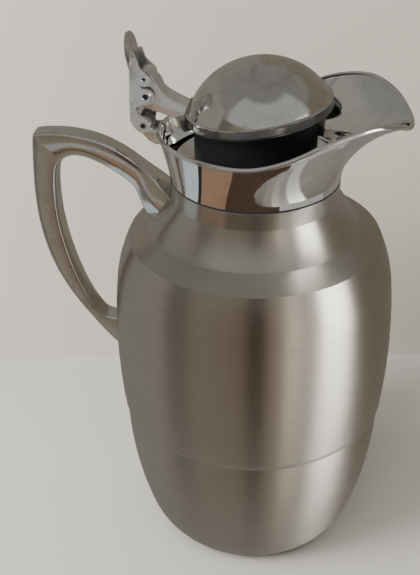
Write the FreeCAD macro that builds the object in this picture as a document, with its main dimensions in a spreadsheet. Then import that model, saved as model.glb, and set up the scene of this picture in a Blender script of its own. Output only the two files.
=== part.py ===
import FreeCAD, Part
import math
import os
import re
import Sketcher
from FreeCAD import Placement, Rotation, Vector

# A one-litre insulated jug: a brushed steel body over a double-walled glass flask, a bright
# pouring collar with a wide lip, and a domed lid on a stopper that a thumb lever lifts.
# Millimetres. The jug stands on z = 0 with its axis on Z, pours towards +X and has its
# handle and hinge on the -X side. Every pin lies along Y.

doc = FreeCAD.newDocument("VacuumJug")
sheet = doc.addObject("Spreadsheet::Sheet", "Sizes")
names = []
nodes = []


def size(name, value):
    """Store one driving dimension in the sheet under its own name."""
    names.append(name)
    row = len(names)
    sheet.set("A%d" % row, name)
    sheet.set("B%d" % row, str(value))
    sheet.setAlias("B%d" % row, name)


# Fits
size("slip_gap", 0.1)          # between pieces that slide together once
size("seat_gap", 0.05)         # between the handle or bracket and the skin it stands on
size("pin_gap", 0.06)          # running clearance round the hinge pin
size("side_gap", 0.4)          # between hinge cheeks that pass each other
size("seal_gap", 0.3)          # under the closed stopper seal
# Body
size("foot_height", 1.5)
size("shell_wall", 0.8)
size("base_radius", 49.6)
size("heel_radius", 57.1)
size("heel_height", 14)
size("heel_curve", 38)
size("lower_curve", 208)
size("seam_radius", 68)
size("seam_height", 78.7)
size("seam_lap", 6)
size("side_curve", 326)
size("upper_side_radius", 68.2)
size("upper_side_height", 149)
size("crown_curve", 74)
size("ridge_radius", 60.4)
size("ridge_height", 175)
size("cove_width", 8.4)
size("cove_rise", 3.6)
size("cove_curve", 19.1)
size("neck_radius", 40.2)
size("neck_height", 203.4)
size("neck_straight", 7.2)
# Base
size("opening_radius", 34)
size("foot_ring_width", 5)
size("foot_ring_inset", 2)
size("plug_flange", 3)
size("plug_depth", 10)
size("plug_wall", 2.5)
size("thread_ring_wall", 2)
# Flask
size("glass_wall", 1.4)
size("cushion_depth", 7)
size("cushion_radius", 27)
size("flask_radius", 57.5)
size("flask_flat", 22)
size("flask_heel", 30)
size("flask_shoulder_height", 140)
size("vacuum_gap", 3.6)
size("mouth_radius", 20)
size("mouth_height", 201.5)
size("mouth_gap", 2)
size("mouth_lip", 2)
size("flask_shoulder_curve", 36)
size("flask_cove_curve", 15)
size("flask_cove_width", 11)
size("flask_neck_length", 17)
size("neck_seal_depth", 4.5)
size("neck_band_depth", 7)
size("neck_band_wall", 1)
# Collar
size("joint_ring", 1)
size("collar_wall", 1.2)
size("collar_rear_reach", 50)
size("lip_reach", 74.5)
size("collar_half_width", 46.2)
size("collar_height", 41.6)
size("lip_height", 38.9)
size("tip_height", 28.6)
size("rear_rim_height", 22)
size("rim_rear_curve", 74)
size("rim_side_curve", 56)
size("rim_lip_curve", 24)
size("funnel_wall", 1.4)
size("funnel_rise", 9.5)
size("seal_height", 1.3)
# Lid
size("lid_offset", 1.3)
size("lid_height", 239.2)
size("lid_tilt", 8)
size("dome_radius", 33)
size("dome_rise", 20.5)
size("dome_wall", 1)
size("crown_flat", 1)
size("skirt_depth", 3.8)
size("skirt_proud", 0.8)
size("skirt_wall", 1)
size("skirt_lip", 0.3)
size("plate_inset", 0.4)
size("stopper_head_height", 2)
size("stopper_radius", 28.5)
size("stopper_wall", 1.8)
size("stopper_shoulder", 212)
size("plug_gap", 1.5)            # between the stopper plug and the mouth
size("plug_taper", 3.5)
size("plug_tip_height", 196)
size("seal_lip", 4)
size("screw_radius", 2)
size("screw_head_radius", 3.6)
size("screw_length", 14)
size("post_radius", 4)
# Hinge
size("pin_x", -51.2)
size("pin_z", 228.9)
size("pin_radius", 1.9)
size("pin_bore", 1.2)
size("ear_radius", 3.7)
size("bracket_half_width", 6)
size("bracket_slot", 4.4)
size("spring_wall", 1.1)
size("cheek", 1.6)
size("rivet_x", -49.4)
size("rivet_z", 243)
size("rivet_radius", 2.2)
size("rivet_bore", 1.3)
size("rivet_ear_radius", 3.6)
size("top_pin_x", -49.9)
size("top_pin_z", 251)
size("top_pin_radius", 1.5)
size("arm_width", 11)
size("arm_overlap", 3.2)
size("lever_back", 57)
size("lever_tip_x", -58.4)
size("lever_tip_z", 270)
size("tab_thickness", 1.8)
size("tab_width", 19)
# Handle
size("handle_width", 10.5)
size("handle_top_x", -105)
size("handle_top_z", 221)
size("handle_top_curve", 60)
size("handle_back_curve", 124)
size("handle_bar", 10.5)
size("handle_foot_z", 104.5)
size("handle_foot_height", 16)
size("root_width", 18)
size("grip_corner", 12)
size("lower_screw_z", 113)
size("upper_screw_z", 192.5)
size("handle_screw_length", 10)
size("washer_radius", 3.4)
size("washer_wall", 1)
doc.recompute()


def formula(text):
    """Point the sheet's names in an expression at the sheet."""
    def cell(word):
        return "Sizes." + word.group() if word.group() in names else word.group()
    return re.sub(r"[a-z_]+", cell, text)


def value(text):
    return float(sheet.evalExpression(formula(text)))


def body(label):
    """Start a sub-part; its label names its file."""
    piece = doc.addObject("PartDesign::Body", label)
    piece.Label = label
    piece.Placement = Placement()
    nodes.append(piece)
    return piece


def tilt(piece):
    """Lean a lid piece about Y, front up, and lift it to the dome's edge."""
    foot = Vector(value("lid_offset"), 0, value("lid_height"))
    piece.Placement = Placement(foot, Rotation(Vector(0, -1, 0), value("lid_tilt")))
    piece.setExpression("Placement.Base.x", formula("lid_offset"))
    piece.setExpression("Placement.Base.z", formula("lid_height"))
    piece.setExpression("Placement.Rotation.Angle", formula("lid_tilt"))


def sketch(piece, name, plane, offset=None):
    """Attach a sketch to one of the piece's own origin planes."""
    drawing = piece.newObject("Sketcher::SketchObject", name)
    base = [item for item in piece.Origin.OriginFeatures if item.Role == plane][0]
    drawing.AttachmentSupport = (base, [""])
    drawing.MapMode = "FlatFace"
    if offset:
        drawing.setExpression("AttachmentOffset.Base.z", formula(offset))
    return drawing


def pin_point(drawing, edge, end, across, up):
    """Tie one point of a sketch to the sheet."""
    for kind, axis, text in (("DistanceX", -2, across), ("DistanceY", -1, up)):
        if text == "0":
            drawing.addConstraint(Sketcher.Constraint("PointOnObject", edge, end, axis))
        else:
            row = drawing.addConstraint(Sketcher.Constraint(kind, -1, 1, edge, end, value(text)))
            drawing.setExpression("Constraints[%d]" % row, formula(text))


def outline(drawing, corners):
    """Draw a closed outline. A corner is (across, up) before a straight edge, and
    (across, up, radius, side) before an arc whose centre lies left or right of the way."""
    points = [Vector(value(corner[0]), value(corner[1]), 0) for corner in corners]
    ends = []
    for number, corner in enumerate(corners):
        start = points[number]
        stop = points[(number + 1) % len(points)]
        if len(corner) == 2:
            drawing.addGeometry(Part.LineSegment(start, stop))
            ends.append((1, 2))
            continue
        radius = value(corner[2])
        half = (stop - start) * 0.5
        rise = math.sqrt(radius ** 2 - half.Length ** 2)
        turn = 1 if corner[3] == "left" else -1
        normal = Vector(-half.y, half.x, 0).normalize() * turn
        centre = start + half + normal * rise
        first, last = (start, stop) if turn > 0 else (stop, start)
        angles = [math.atan2(point.y - centre.y, point.x - centre.x) for point in (first, last)]
        whole = Part.Circle(centre, Vector(0, 0, 1), radius)
        drawing.addGeometry(Part.ArcOfCircle(whole, angles[0], angles[1]))
        ends.append((1, 2) if turn > 0 else (2, 1))
    for number, corner in enumerate(corners):
        following = (number + 1) % len(corners)
        joint = Sketcher.Constraint("Coincident", number, ends[number][1], following, ends[following][0])
        drawing.addConstraint(joint)
        pin_point(drawing, number, ends[number][0], corner[0], corner[1])
        if len(corner) == 4:
            row = drawing.addConstraint(Sketcher.Constraint("Radius", number, value(corner[2])))
            drawing.setExpression("Constraints[%d]" % row, formula(corner[2]))


def circle(drawing, across, up, radius):
    """Add a whole circle tied to the sheet."""
    middle = Vector(value(across), value(up), 0)
    edge = drawing.addGeometry(Part.Circle(middle, Vector(0, 0, 1), value(radius)))
    pin_point(drawing, edge, 3, across, up)
    row = drawing.addConstraint(Sketcher.Constraint("Radius", edge, value(radius)))
    drawing.setExpression("Constraints[%d]" % row, formula(radius))


def spin(piece, name, corners, kind="Revolution", leaning=False):
    """Turn an outline in the XZ plane once round Z, or round the lid's own leaning axis."""
    drawing = sketch(piece, name + "_profile", "XZ_Plane")
    if leaning:
        foot = Vector(value("lid_offset"), value("lid_height"), 0)
        drawing.AttachmentOffset = Placement(foot, Rotation(Vector(0, 0, 1), value("lid_tilt")))
        drawing.setExpression("AttachmentOffset.Base.x", formula("lid_offset"))
        drawing.setExpression("AttachmentOffset.Base.y", formula("lid_height"))
        drawing.setExpression("AttachmentOffset.Rotation.Angle", formula("lid_tilt"))
        doc.recompute()
    outline(drawing, corners)
    turned = piece.newObject("PartDesign::" + kind, name)
    turned.Profile = (drawing, [""])
    turned.ReferenceAxis = (drawing, ["V_Axis"])
    turned.Angle = 360
    drawing.Visibility = False
    doc.recompute()
    return turned


def across(piece, name, corners, width, kind="Pad", rounds=()):
    """Give an outline in the XZ plane a width along Y, half to each side."""
    drawing = sketch(piece, name + "_profile", "XZ_Plane")
    if corners:
        outline(drawing, corners)
    for x, z, radius in rounds:
        circle(drawing, x, z, radius)
    feature = piece.newObject("PartDesign::" + kind, name)
    feature.Profile = (drawing, [""])
    feature.SideType = "Symmetric"
    feature.setExpression("Length", formula(width))
    doc.recompute()
    return feature


def ring(label, inner, outer, bottom, top):
    """Make a plain ring round the jug's axis."""
    piece = body(label)
    spin(piece, label + "_turn", [(inner, bottom), (outer, bottom), (outer, top), (inner, top)])
    return piece


# Body shells --------------------------------------------------------------------------

SHELL_OUTSIDE = [
    ("seam_radius", "seam_height", "side_curve", "left"),
    ("upper_side_radius", "upper_side_height", "crown_curve", "left"),
    ("ridge_radius", "ridge_height"),
    ("ridge_radius - cove_width", "ridge_height + cove_rise", "cove_curve", "right"),
    ("neck_radius", "neck_height - neck_straight"),
    ("neck_radius", "neck_height"),
]
SHELL_INSIDE = [
    ("neck_radius - shell_wall", "neck_height"),
    ("neck_radius - shell_wall", "neck_height - neck_straight", "cove_curve + shell_wall", "left"),
    ("ridge_radius - cove_width - shell_wall * 0.4", "ridge_height + cove_rise - shell_wall * 0.9"),
    ("ridge_radius - shell_wall", "ridge_height - shell_wall * 0.8", "crown_curve - shell_wall", "right"),
    ("upper_side_radius - shell_wall", "upper_side_height", "side_curve - shell_wall", "right"),
    ("seam_radius - shell_wall", "seam_height"),
]
LAP = "seam_radius - shell_wall - slip_gap"
BASE_OUTSIDE = [
    ("base_radius", "foot_height", "heel_curve", "left"),
    ("heel_radius", "heel_height", "lower_curve", "left"),
    (LAP, "seam_height"),
    (LAP, "seam_height + seam_lap"),
]
BASE_INSIDE = [
    (LAP + " - shell_wall", "seam_height + seam_lap"),
    (LAP + " - shell_wall", "seam_height", "lower_curve - shell_wall", "right"),
    ("heel_radius - shell_wall", "heel_height", "heel_curve - shell_wall", "right"),
    ("base_radius - shell_wall * 0.5", "foot_height + shell_wall"),
    ("opening_radius", "foot_height + shell_wall"),
    ("opening_radius", "foot_height"),
]

body_shell = body("body_shell")
spin(body_shell, "body_shell_turn", SHELL_OUTSIDE + SHELL_INSIDE)
base_shell = body("base_shell")
spin(base_shell, "base_shell_turn", BASE_OUTSIDE + BASE_INSIDE)

# Base: rubber foot, screwed plug in a threaded ring, cushion under the flask ------------

FOOT_OUTER = "base_radius - foot_ring_inset"
ring("foot_ring", FOOT_OUTER + " - foot_ring_width", FOOT_OUTER, "0", "foot_height")
PLUG_OUTER = "opening_radius - slip_gap"
PLUG_TOP = "foot_height + plug_depth"
base_plug = body("base_plug")
spin(base_plug, "base_plug_turn", [
    ("0", "foot_height * 0.3"),
    ("opening_radius + plug_flange", "foot_height * 0.3"),
    ("opening_radius + plug_flange", "foot_height - seat_gap"),
    (PLUG_OUTER, "foot_height - seat_gap"),
    (PLUG_OUTER, PLUG_TOP),
    (PLUG_OUTER + " - plug_wall", PLUG_TOP),
    (PLUG_OUTER + " - plug_wall", "foot_height + plug_wall"),
    ("0", "foot_height + plug_wall"),
])
across(base_plug, "coin_slot", [
    ("-opening_radius * 0.5", "0"),
    ("opening_radius * 0.5", "0"),
    ("opening_radius * 0.5", "foot_height"),
    ("-opening_radius * 0.5", "foot_height"),
], "plug_wall", "Pocket")
ring("base_thread_ring", "opening_radius", "opening_radius + thread_ring_wall",
     "foot_height + shell_wall", PLUG_TOP)
CUSHION_BASE = "foot_height + plug_wall"
FLASK_BASE = CUSHION_BASE + " + cushion_depth"
ring("flask_cushion", "cushion_radius * 0.3", "cushion_radius", CUSHION_BASE, FLASK_BASE + " - slip_gap")

# Flask: an outer bottle, and an inner one in four lengths that meet face to face -----------


def bottle(radius, bottom, neck):
    """Give the outside and inside corners of a glass bottle, foot first, up to its neck."""
    shrink = "(flask_radius - (" + radius + "))"
    shoulder = "flask_shoulder_height - " + shrink + " * 0.3"
    cove_foot = "mouth_height - flask_neck_length - flask_cove_width - " + shrink + " * 0.3"
    neck_foot = "mouth_height - flask_neck_length"
    outside = [
        ("0", bottom),
        ("flask_flat", bottom, "flask_shoulder_curve", "left"),
        (radius, bottom + " + flask_heel"),
        (radius, shoulder, "flask_shoulder_curve", "left"),
        (neck + " + flask_cove_width", cove_foot, "flask_cove_curve", "right"),
        (neck, neck_foot),
    ]
    thin = " - glass_wall"
    inside = [
        ("0", bottom + " + glass_wall"),
        ("flask_flat", bottom + " + glass_wall"),
        (radius + thin, bottom + " + flask_heel", "flask_shoulder_curve - glass_wall", "right"),
        (radius + thin, shoulder),
        (neck + " + flask_cove_width - glass_wall * 0.7", cove_foot + " - glass_wall * 0.7",
         "flask_shoulder_curve - glass_wall", "right"),
        (neck + thin, neck_foot, "flask_cove_curve + glass_wall", "left"),
    ]
    return outside, inside


def glass(label, outside, inside):
    """Make one length of glass between its outside, going up, and its inside, coming down."""
    end = [outside[-1][:2]]
    spin(body(label), label + "_turn", outside[:-1] + end + inside)


INNER_NECK = "mouth_radius + glass_wall"
OUTER_NECK = INNER_NECK + " + mouth_gap + glass_wall"
INNER_RADIUS = "flask_radius - glass_wall - vacuum_gap"
OUTER_TOP = "mouth_height - mouth_lip"
outer_out, outer_in = bottle("flask_radius", FLASK_BASE, OUTER_NECK)
glass("outer_glass", outer_out + [(OUTER_NECK, OUTER_TOP)],
      [(OUTER_NECK + " - glass_wall", OUTER_TOP)] + outer_in[::-1])
inner_out, inner_in = bottle(INNER_RADIUS, FLASK_BASE + " + glass_wall + vacuum_gap", INNER_NECK)
glass("flask_base", inner_out[:3], inner_in[2::-1])
ring("flask_wall", inner_in[3][0], INNER_RADIUS, inner_in[2][1], inner_in[3][1])
glass("flask_shoulder", inner_out[3:], inner_in[5:2:-1])
mouth_out = [(INNER_NECK, OUTER_TOP), (OUTER_NECK, OUTER_TOP), (OUTER_NECK, "mouth_height")]
mouth_in = [("mouth_radius", "mouth_height"), ("mouth_radius", inner_out[5][1])]
glass("flask_neck", [inner_out[5]] + mouth_out, mouth_in)

# Neck: rubber seal round the flask, band that ties shell and collar, gaskets -------------

BAND_OUTER = "neck_radius - collar_wall - slip_gap"
BAND_BASE = "neck_height - neck_band_depth"
ring("neck_band", BAND_OUTER + " - neck_band_wall", BAND_OUTER, BAND_BASE, "neck_height + neck_band_depth")
ring("neck_seal", OUTER_NECK + " + slip_gap", BAND_OUTER + " - neck_band_wall - slip_gap",
     BAND_BASE, BAND_BASE + " + neck_seal_depth")
ring("collar_gasket", "neck_radius - collar_wall", "neck_radius - slip_gap",
     "neck_height", "neck_height + joint_ring")
ring("mouth_seal", "mouth_radius + slip_gap", OUTER_NECK, "mouth_height", "mouth_height + seal_height")

# Collar: lofted from a round foot to a wide lip, then trimmed along the rim --------------

COLLAR_BASE = "neck_height + joint_ring"


def collar_loft(piece, name, kind, shrink):
    """Loft the collar's skin, drawn in by a wall, from its foot to above its rim."""
    rear = "(collar_rear_reach - neck_radius)"
    front = "(lip_reach - neck_radius)"
    side = "(collar_half_width - neck_radius)"
    stations = [
        ("0", "0", "0", "0"),
        ("0.12", "0.12", "0.035", "0.16"),
        ("0.25", "0.29", "0.1", "0.42"),
        ("0.4", "0.5", "0.205", "0.72"),
        ("0.5", "0.62", "0.33", "0.86"),
        ("0.6", "0.74", "0.548", "0.96"),
        ("0.645", "0.79", "0.752", "1"),
        ("0.675", "0.83", "0.898", "1"),
        ("0.72", "0.86", "0.942", "1"),
        ("1", "1", "1", "1"),
    ]
    drawings = []
    for number, station in enumerate(stations):
        height, rear_share, front_share, side_share = station
        level = COLLAR_BASE + " + collar_height * " + height
        if kind == "SubtractiveLoft" and number == 0:
            level = level + " - 0.01"
        back = "neck_radius + " + rear + " * " + rear_share
        lead = "neck_radius + " + front + " * " + front_share
        drawing = sketch(piece, "%s_section_%d" % (name, number), "XY_Plane", level)
        long_half = "((" + back + ") + (" + lead + ")) / 2 - " + shrink
        wide_half = "neck_radius + " + side + " * " + side_share + " - " + shrink
        centre = "((" + lead + ") - (" + back + ")) / 2"
        oval(drawing, centre, long_half, wide_half)
        drawings.append(drawing)
    loft = piece.newObject("PartDesign::" + kind, name)
    loft.Profile = (drawings[0], [""])
    loft.Sections = [(drawing, [""]) for drawing in drawings[1:]]
    loft.Ruled = True
    doc.recompute()
    return loft


def oval(drawing, centre, long_half, wide_half):
    """Draw an ellipse across the jug, longest along X."""
    middle = Vector(value(centre), 0, 0)
    long_end = middle + Vector(value(long_half) + 0.0001, 0, 0)
    wide_end = middle + Vector(0, value(wide_half), 0)
    edge = drawing.addGeometry(Part.Ellipse(long_end, wide_end, middle))
    drawing.exposeInternalGeometry(edge)
    long_axis = 1
    wide_axis = 2
    drawing.addConstraint(Sketcher.Constraint("PointOnObject", edge, 3, -1))
    long_size = "2 * (" + long_half + ") + 0.0002"
    wide_size = "2 * (" + wide_half + ")"
    rows = [
        (Sketcher.Constraint("DistanceX", -1, 1, edge, 3, value(centre)), centre),
        (Sketcher.Constraint("Distance", long_axis, value(long_size)), long_size),
        (Sketcher.Constraint("Distance", wide_axis, value(wide_size)), wide_size),
    ]
    for constraint, text in rows:
        row = drawing.addConstraint(constraint)
        drawing.setExpression("Constraints[%d]" % row, formula(text))
    drawing.addConstraint(Sketcher.Constraint("Horizontal", long_axis))


RIM = COLLAR_BASE + " + rear_rim_height"
spout_collar = body("spout_collar")
collar_loft(spout_collar, "collar_outside", "AdditiveLoft", "0")
collar_loft(spout_collar, "collar_inside", "SubtractiveLoft", "collar_wall")
across(spout_collar, "rim_trim", [
    ("-collar_rear_reach * 1.2", RIM),
    ("-collar_rear_reach * 0.2", RIM, "rim_rear_curve", "left"),
    ("lip_reach * 0.34", COLLAR_BASE + " + lip_height * 0.78", "rim_side_curve", "right"),
    ("lip_reach * 0.7", COLLAR_BASE + " + lip_height * 0.98", "rim_lip_curve", "right"),
    ("lip_reach * 0.96", COLLAR_BASE + " + tip_height"),
    ("lip_reach * 1.2", COLLAR_BASE + " + tip_height - 3"),
    ("lip_reach * 1.2", COLLAR_BASE + " + collar_height * 1.2"),
    ("-collar_rear_reach * 1.2", COLLAR_BASE + " + collar_height * 1.2"),
], "collar_half_width * 2.4", "Pocket")

FUNNEL_SEAT = "mouth_height + seal_height"
FUNNEL_TOP = FUNNEL_SEAT + " + funnel_rise"
FUNNEL_EDGE = BAND_OUTER + " - neck_band_wall - slip_gap"
LEDGE = FUNNEL_SEAT + " + funnel_wall"
pouring_funnel = body("pouring_funnel")
spin(pouring_funnel, "pouring_funnel_turn", [
    ("mouth_radius + 0.5", FUNNEL_SEAT),
    (OUTER_NECK, FUNNEL_SEAT),
    (FUNNEL_EDGE, FUNNEL_TOP + " - funnel_wall"),
    (FUNNEL_EDGE, FUNNEL_TOP),
    ("mouth_radius - plug_gap + seal_lip + 1.5", LEDGE),
    ("mouth_radius + 0.5", LEDGE),
])

# Lid: dome, skirt, plate and post lean together; the stopper below stands upright ---------

lid_dome = body("lid_dome")
DOME_CURVE = "((dome_radius - crown_flat) ^ 2 + dome_rise ^ 2) / (2 * dome_rise)"
spin(lid_dome, "lid_dome_turn", [
    ("dome_radius", "0", DOME_CURVE, "left"),
    ("crown_flat", "dome_rise"),
    ("0", "dome_rise"),
    ("0", "dome_rise - dome_wall"),
    ("crown_flat", "dome_rise - dome_wall", DOME_CURVE + " - dome_wall", "right"),
    ("dome_radius - dome_wall", "0"),
])
SKIRT_OUTER = "dome_radius + skirt_proud"
SKIRT_INNER = SKIRT_OUTER + " - skirt_wall"
lid_skirt = body("lid_skirt")
spin(lid_skirt, "lid_skirt_turn", [
    (SKIRT_INNER, "-skirt_depth"),
    (SKIRT_OUTER, "-skirt_depth"),
    (SKIRT_OUTER, "0"),
    ("dome_radius + seat_gap", "skirt_lip"),
    ("dome_radius + seat_gap", "0"),
    (SKIRT_INNER, "0"),
])
PLATE_RADIUS = SKIRT_INNER + " - slip_gap"
lid_plate = body("lid_plate")
spin(lid_plate, "lid_plate_turn", [
    ("screw_radius + slip_gap", "-skirt_depth + plate_inset"),
    (PLATE_RADIUS, "-skirt_depth + plate_inset"),
    (PLATE_RADIUS, "-slip_gap"),
    ("screw_radius + slip_gap", "-slip_gap"),
])
lid_post = body("lid_post")
spin(lid_post, "lid_post_turn", [
    ("screw_radius + seat_gap", "0"),
    ("post_radius", "0"),
    ("post_radius", "dome_rise - dome_wall - 0.4"),
    ("0", "dome_rise - dome_wall - 0.2"),
    ("0", "screw_length"),
    ("screw_radius + seat_gap", "screw_length"),
])
stopper_screw = body("stopper_screw")
spin(stopper_screw, "stopper_screw_turn", [
    ("0", "-skirt_depth + plate_inset - stopper_head_height"),
    ("screw_head_radius", "-skirt_depth + plate_inset - stopper_head_height"),
    ("screw_head_radius", "-skirt_depth + plate_inset - slip_gap"),
    ("screw_radius", "-skirt_depth + plate_inset - slip_gap"),
    ("screw_radius", "screw_length - 1"),
    ("0", "screw_length - 1"),
])
for piece in (lid_dome, lid_skirt, lid_plate, lid_post, stopper_screw):
    tilt(piece)

SEAL_BASE = LEDGE + " + seal_gap"
SEAL_TOP = SEAL_BASE + " + 2.2"
STOPPER_TOP = "lid_height + dome_radius * 0.2"


def stopper_outline(thin, floor):
    """Half of the stopper's outside, drawn in by thin and raised by floor."""
    return [
        ("0", "plug_tip_height + " + floor),
        ("mouth_radius - plug_gap - plug_taper - " + thin, "plug_tip_height + " + floor),
        ("mouth_radius - plug_gap - " + thin, SEAL_BASE + " + " + floor),
        ("mouth_radius - plug_gap - " + thin, SEAL_TOP + " + " + floor),
        ("mouth_radius - plug_gap + seal_lip * 0.5 - " + thin, SEAL_TOP + " + " + floor),
        ("stopper_radius - " + thin, "stopper_shoulder + " + floor),
    ]


PLATE_DROP = "(skirt_depth - plate_inset + seat_gap) / cos(lid_tilt * 1deg)"


def plate_cut(piece, name, drop):
    """Trim a stopper piece under the leaning plate."""
    reach = "stopper_radius * 1.3"
    slope = "tan(lid_tilt * 1deg) * " + reach
    middle = "lid_height - " + drop + " - tan(lid_tilt * 1deg) * lid_offset"
    across(piece, name, [
        ("-" + reach, middle + " - " + slope),
        (reach, middle + " + " + slope),
        (reach, "lid_height + dome_rise * 2"),
        ("-" + reach, "lid_height + dome_rise * 2"),
    ], "stopper_radius * 3", "Pocket")


stopper_body = body("stopper_body")
hollow_top = [("stopper_radius - stopper_wall", STOPPER_TOP)]
inner_wall = stopper_outline("stopper_wall", "stopper_wall")[::-1]
spin(stopper_body, "stopper_body_turn",
     stopper_outline("0", "0") + [("stopper_radius", STOPPER_TOP)] + hollow_top + inner_wall)
plate_cut(stopper_body, "stopper_body_trim", PLATE_DROP)
stopper_core = body("stopper_core")
CORE_TOP = "stopper_shoulder + 12"
spin(stopper_core, "stopper_core_turn",
     stopper_outline("stopper_wall - slip_gap", "stopper_wall + slip_gap")
     + [("stopper_radius - stopper_wall - slip_gap", CORE_TOP), ("0", CORE_TOP)])
ring("stopper_seal", "mouth_radius - plug_gap + seat_gap", "mouth_radius - plug_gap + seal_lip",
     SEAL_BASE, SEAL_TOP + " - seat_gap")

# Hinge ------------------------------------------------------------------------------------


def tube(label, x, z, bore, radius, half_width):
    """Make a round pin or tube along Y, half to each side."""
    piece = body(label)
    rounds = [(x, z, radius)]
    if bore:
        rounds.append((x, z, bore))
    across(piece, label + "_length", [], "2 * (" + half_width + ")", "Pad", rounds)
    return piece


CHEEK_INSIDE = "bracket_half_width + side_gap"
CHEEK_OUTSIDE = CHEEK_INSIDE + " + cheek"
hinge_bracket = body("hinge_bracket")
across(hinge_bracket, "bracket_block", [
    ("-neck_radius - 2", "pin_z - 9.5"),
    ("-neck_radius - 2", "pin_z - ear_radius"),
    ("pin_x + ear_radius", "pin_z", "ear_radius", "left"),
    ("pin_x", "pin_z + ear_radius", "ear_radius", "left"),
    ("pin_x - ear_radius", "pin_z", "ear_radius", "left"),
    ("pin_x - ear_radius * 0.7", "pin_z - ear_radius * 0.7"),
    ("-neck_radius - 6", "pin_z - 9.5"),
], "2 * bracket_half_width")
across(hinge_bracket, "bracket_slot_cut", [
    ("pin_x - ear_radius * 1.5", "pin_z - ear_radius * 1.1"),
    ("pin_x + ear_radius * 1.5", "pin_z - ear_radius * 1.1"),
    ("pin_x + ear_radius * 1.5", "pin_z + ear_radius * 1.5"),
    ("pin_x - ear_radius * 1.5", "pin_z + ear_radius * 1.5"),
], "2 * bracket_slot", "Pocket")
across(hinge_bracket, "bracket_bore", [], "4 * bracket_half_width", "Pocket",
       [("pin_x", "pin_z", "pin_radius + pin_gap")])
collar_loft(hinge_bracket, "bracket_seat", "SubtractiveLoft", "-seat_gap")

tube("hinge_pin", "pin_x", "pin_z", "pin_bore", "pin_radius", CHEEK_OUTSIDE)
SPRING_BORE = "pin_radius + 0.35"
tube("lid_spring", "pin_x", "pin_z", SPRING_BORE, SPRING_BORE + " + spring_wall", "bracket_slot - side_gap")
tube("lever_rivet", "rivet_x", "rivet_z", "rivet_bore", "rivet_radius", CHEEK_OUTSIDE + " + 0.5")
tube("lever_top_pin", "top_pin_x", "top_pin_z", None, "top_pin_radius", CHEEK_OUTSIDE)

lid_arm = body("lid_arm")
ARM_FRONT = "lid_offset - dome_radius + arm_overlap"
across(lid_arm, "arm_bar", [
    (ARM_FRONT, "lid_height - 9.6"),
    (ARM_FRONT, "lid_height - 3.5"),
    ("rivet_x + rivet_ear_radius + 6", "rivet_z - 1.4"),
    ("rivet_x + rivet_ear_radius + 2.6", "rivet_z + 1.4"),
    ("top_pin_x + 5.4", "top_pin_z + 0.6", "6", "left"),
    ("top_pin_x", "top_pin_z + 3.2", "4", "left"),
    ("top_pin_x - 3.4", "top_pin_z"),
    ("rivet_x - 4.4", "rivet_z"),
    ("rivet_x - 3.6", "rivet_z - 6"),
    ("rivet_x + 6", "rivet_z - 8.4"),
], "arm_width")
across(lid_arm, "arm_bores", [], "2 * arm_width", "Pocket",
       [("rivet_x", "rivet_z", "rivet_radius"), ("top_pin_x", "top_pin_z", "top_pin_radius")])
SKIRT_CLEAR = SKIRT_OUTER + " + seat_gap"
spin(lid_arm, "arm_seat", [
    ("0", "-skirt_depth * 3"),
    (SKIRT_CLEAR, "-skirt_depth * 3"),
    (SKIRT_CLEAR, "skirt_lip + seat_gap"),
    ("dome_radius + seat_gap * 2", "skirt_lip + seat_gap", DOME_CURVE + " + seat_gap", "left"),
    ("crown_flat", "dome_rise + seat_gap"),
    ("0", "dome_rise + seat_gap"),
], "Groove", leaning=True)

thumb_lever = body("thumb_lever")
WEB = "-lever_back"
across(thumb_lever, "lever_cheeks", [
    (WEB, "pin_z + 2.6"),
    ("pin_x - ear_radius * 0.75", "pin_z - ear_radius * 0.72", "ear_radius * 1.04", "left"),
    ("pin_x + ear_radius", "pin_z", "ear_radius", "left"),
    ("pin_x + ear_radius * 0.3", "pin_z + ear_radius * 0.954"),
    ("rivet_x - 5", "rivet_z - 6.4"),
    ("rivet_x - 4.6", "rivet_z - 5"),
    ("rivet_x", "rivet_z - rivet_ear_radius", "rivet_ear_radius", "left"),
    ("rivet_x + rivet_ear_radius", "rivet_z", "rivet_ear_radius", "left"),
    ("rivet_x", "rivet_z + rivet_ear_radius"),
    ("rivet_x - 1.2", "top_pin_z - 3.2"),
    ("top_pin_x + 2.2", "top_pin_z - 0.8", "2.6", "left"),
    ("top_pin_x - 0.6", "top_pin_z + 2.6"),
    ("lever_tip_x + 5.2", "lever_tip_z - 13"),
    ("lever_tip_x + tab_thickness", "lever_tip_z - 0.2"),
    ("lever_tip_x", "lever_tip_z"),
    ("lever_tip_x + 2.4", "lever_tip_z - 14"),
    (WEB + " + 0.8", "rivet_z + 2"),
], "2 * (" + CHEEK_OUTSIDE + ")")
across(thumb_lever, "lever_tab", [
    ("lever_tip_x + 2.6", "lever_tip_z - 15"),
    ("lever_tip_x + 5", "lever_tip_z - 13"),
    ("lever_tip_x + tab_thickness", "lever_tip_z - 0.2"),
    ("lever_tip_x", "lever_tip_z"),
], "tab_width")
across(thumb_lever, "lever_channel", [
    (WEB + " + cheek", "pin_z + 2.2"),
    (WEB + " - 1", "pin_z + 1"),
    (WEB + " - 1", "pin_z - 9"),
    ("0", "pin_z - 9"),
    ("0", "top_pin_z + 5"),
    ("lever_tip_x + 4.4", "top_pin_z + 5"),
    (WEB + " + 0.8 + cheek", "rivet_z"),
], "2 * (" + CHEEK_INSIDE + ")", "Pocket")
across(thumb_lever, "lever_bores", [], "4 * (" + CHEEK_OUTSIDE + ")", "Pocket",
       [("pin_x", "pin_z", "pin_radius"), ("rivet_x", "rivet_z", "rivet_radius"),
        ("top_pin_x", "top_pin_z", "top_pin_radius")])
TAB_HALF = "(tab_width / 2)"
tab_trim = sketch(thumb_lever, "tab_trim_profile", "YZ_Plane")
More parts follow.
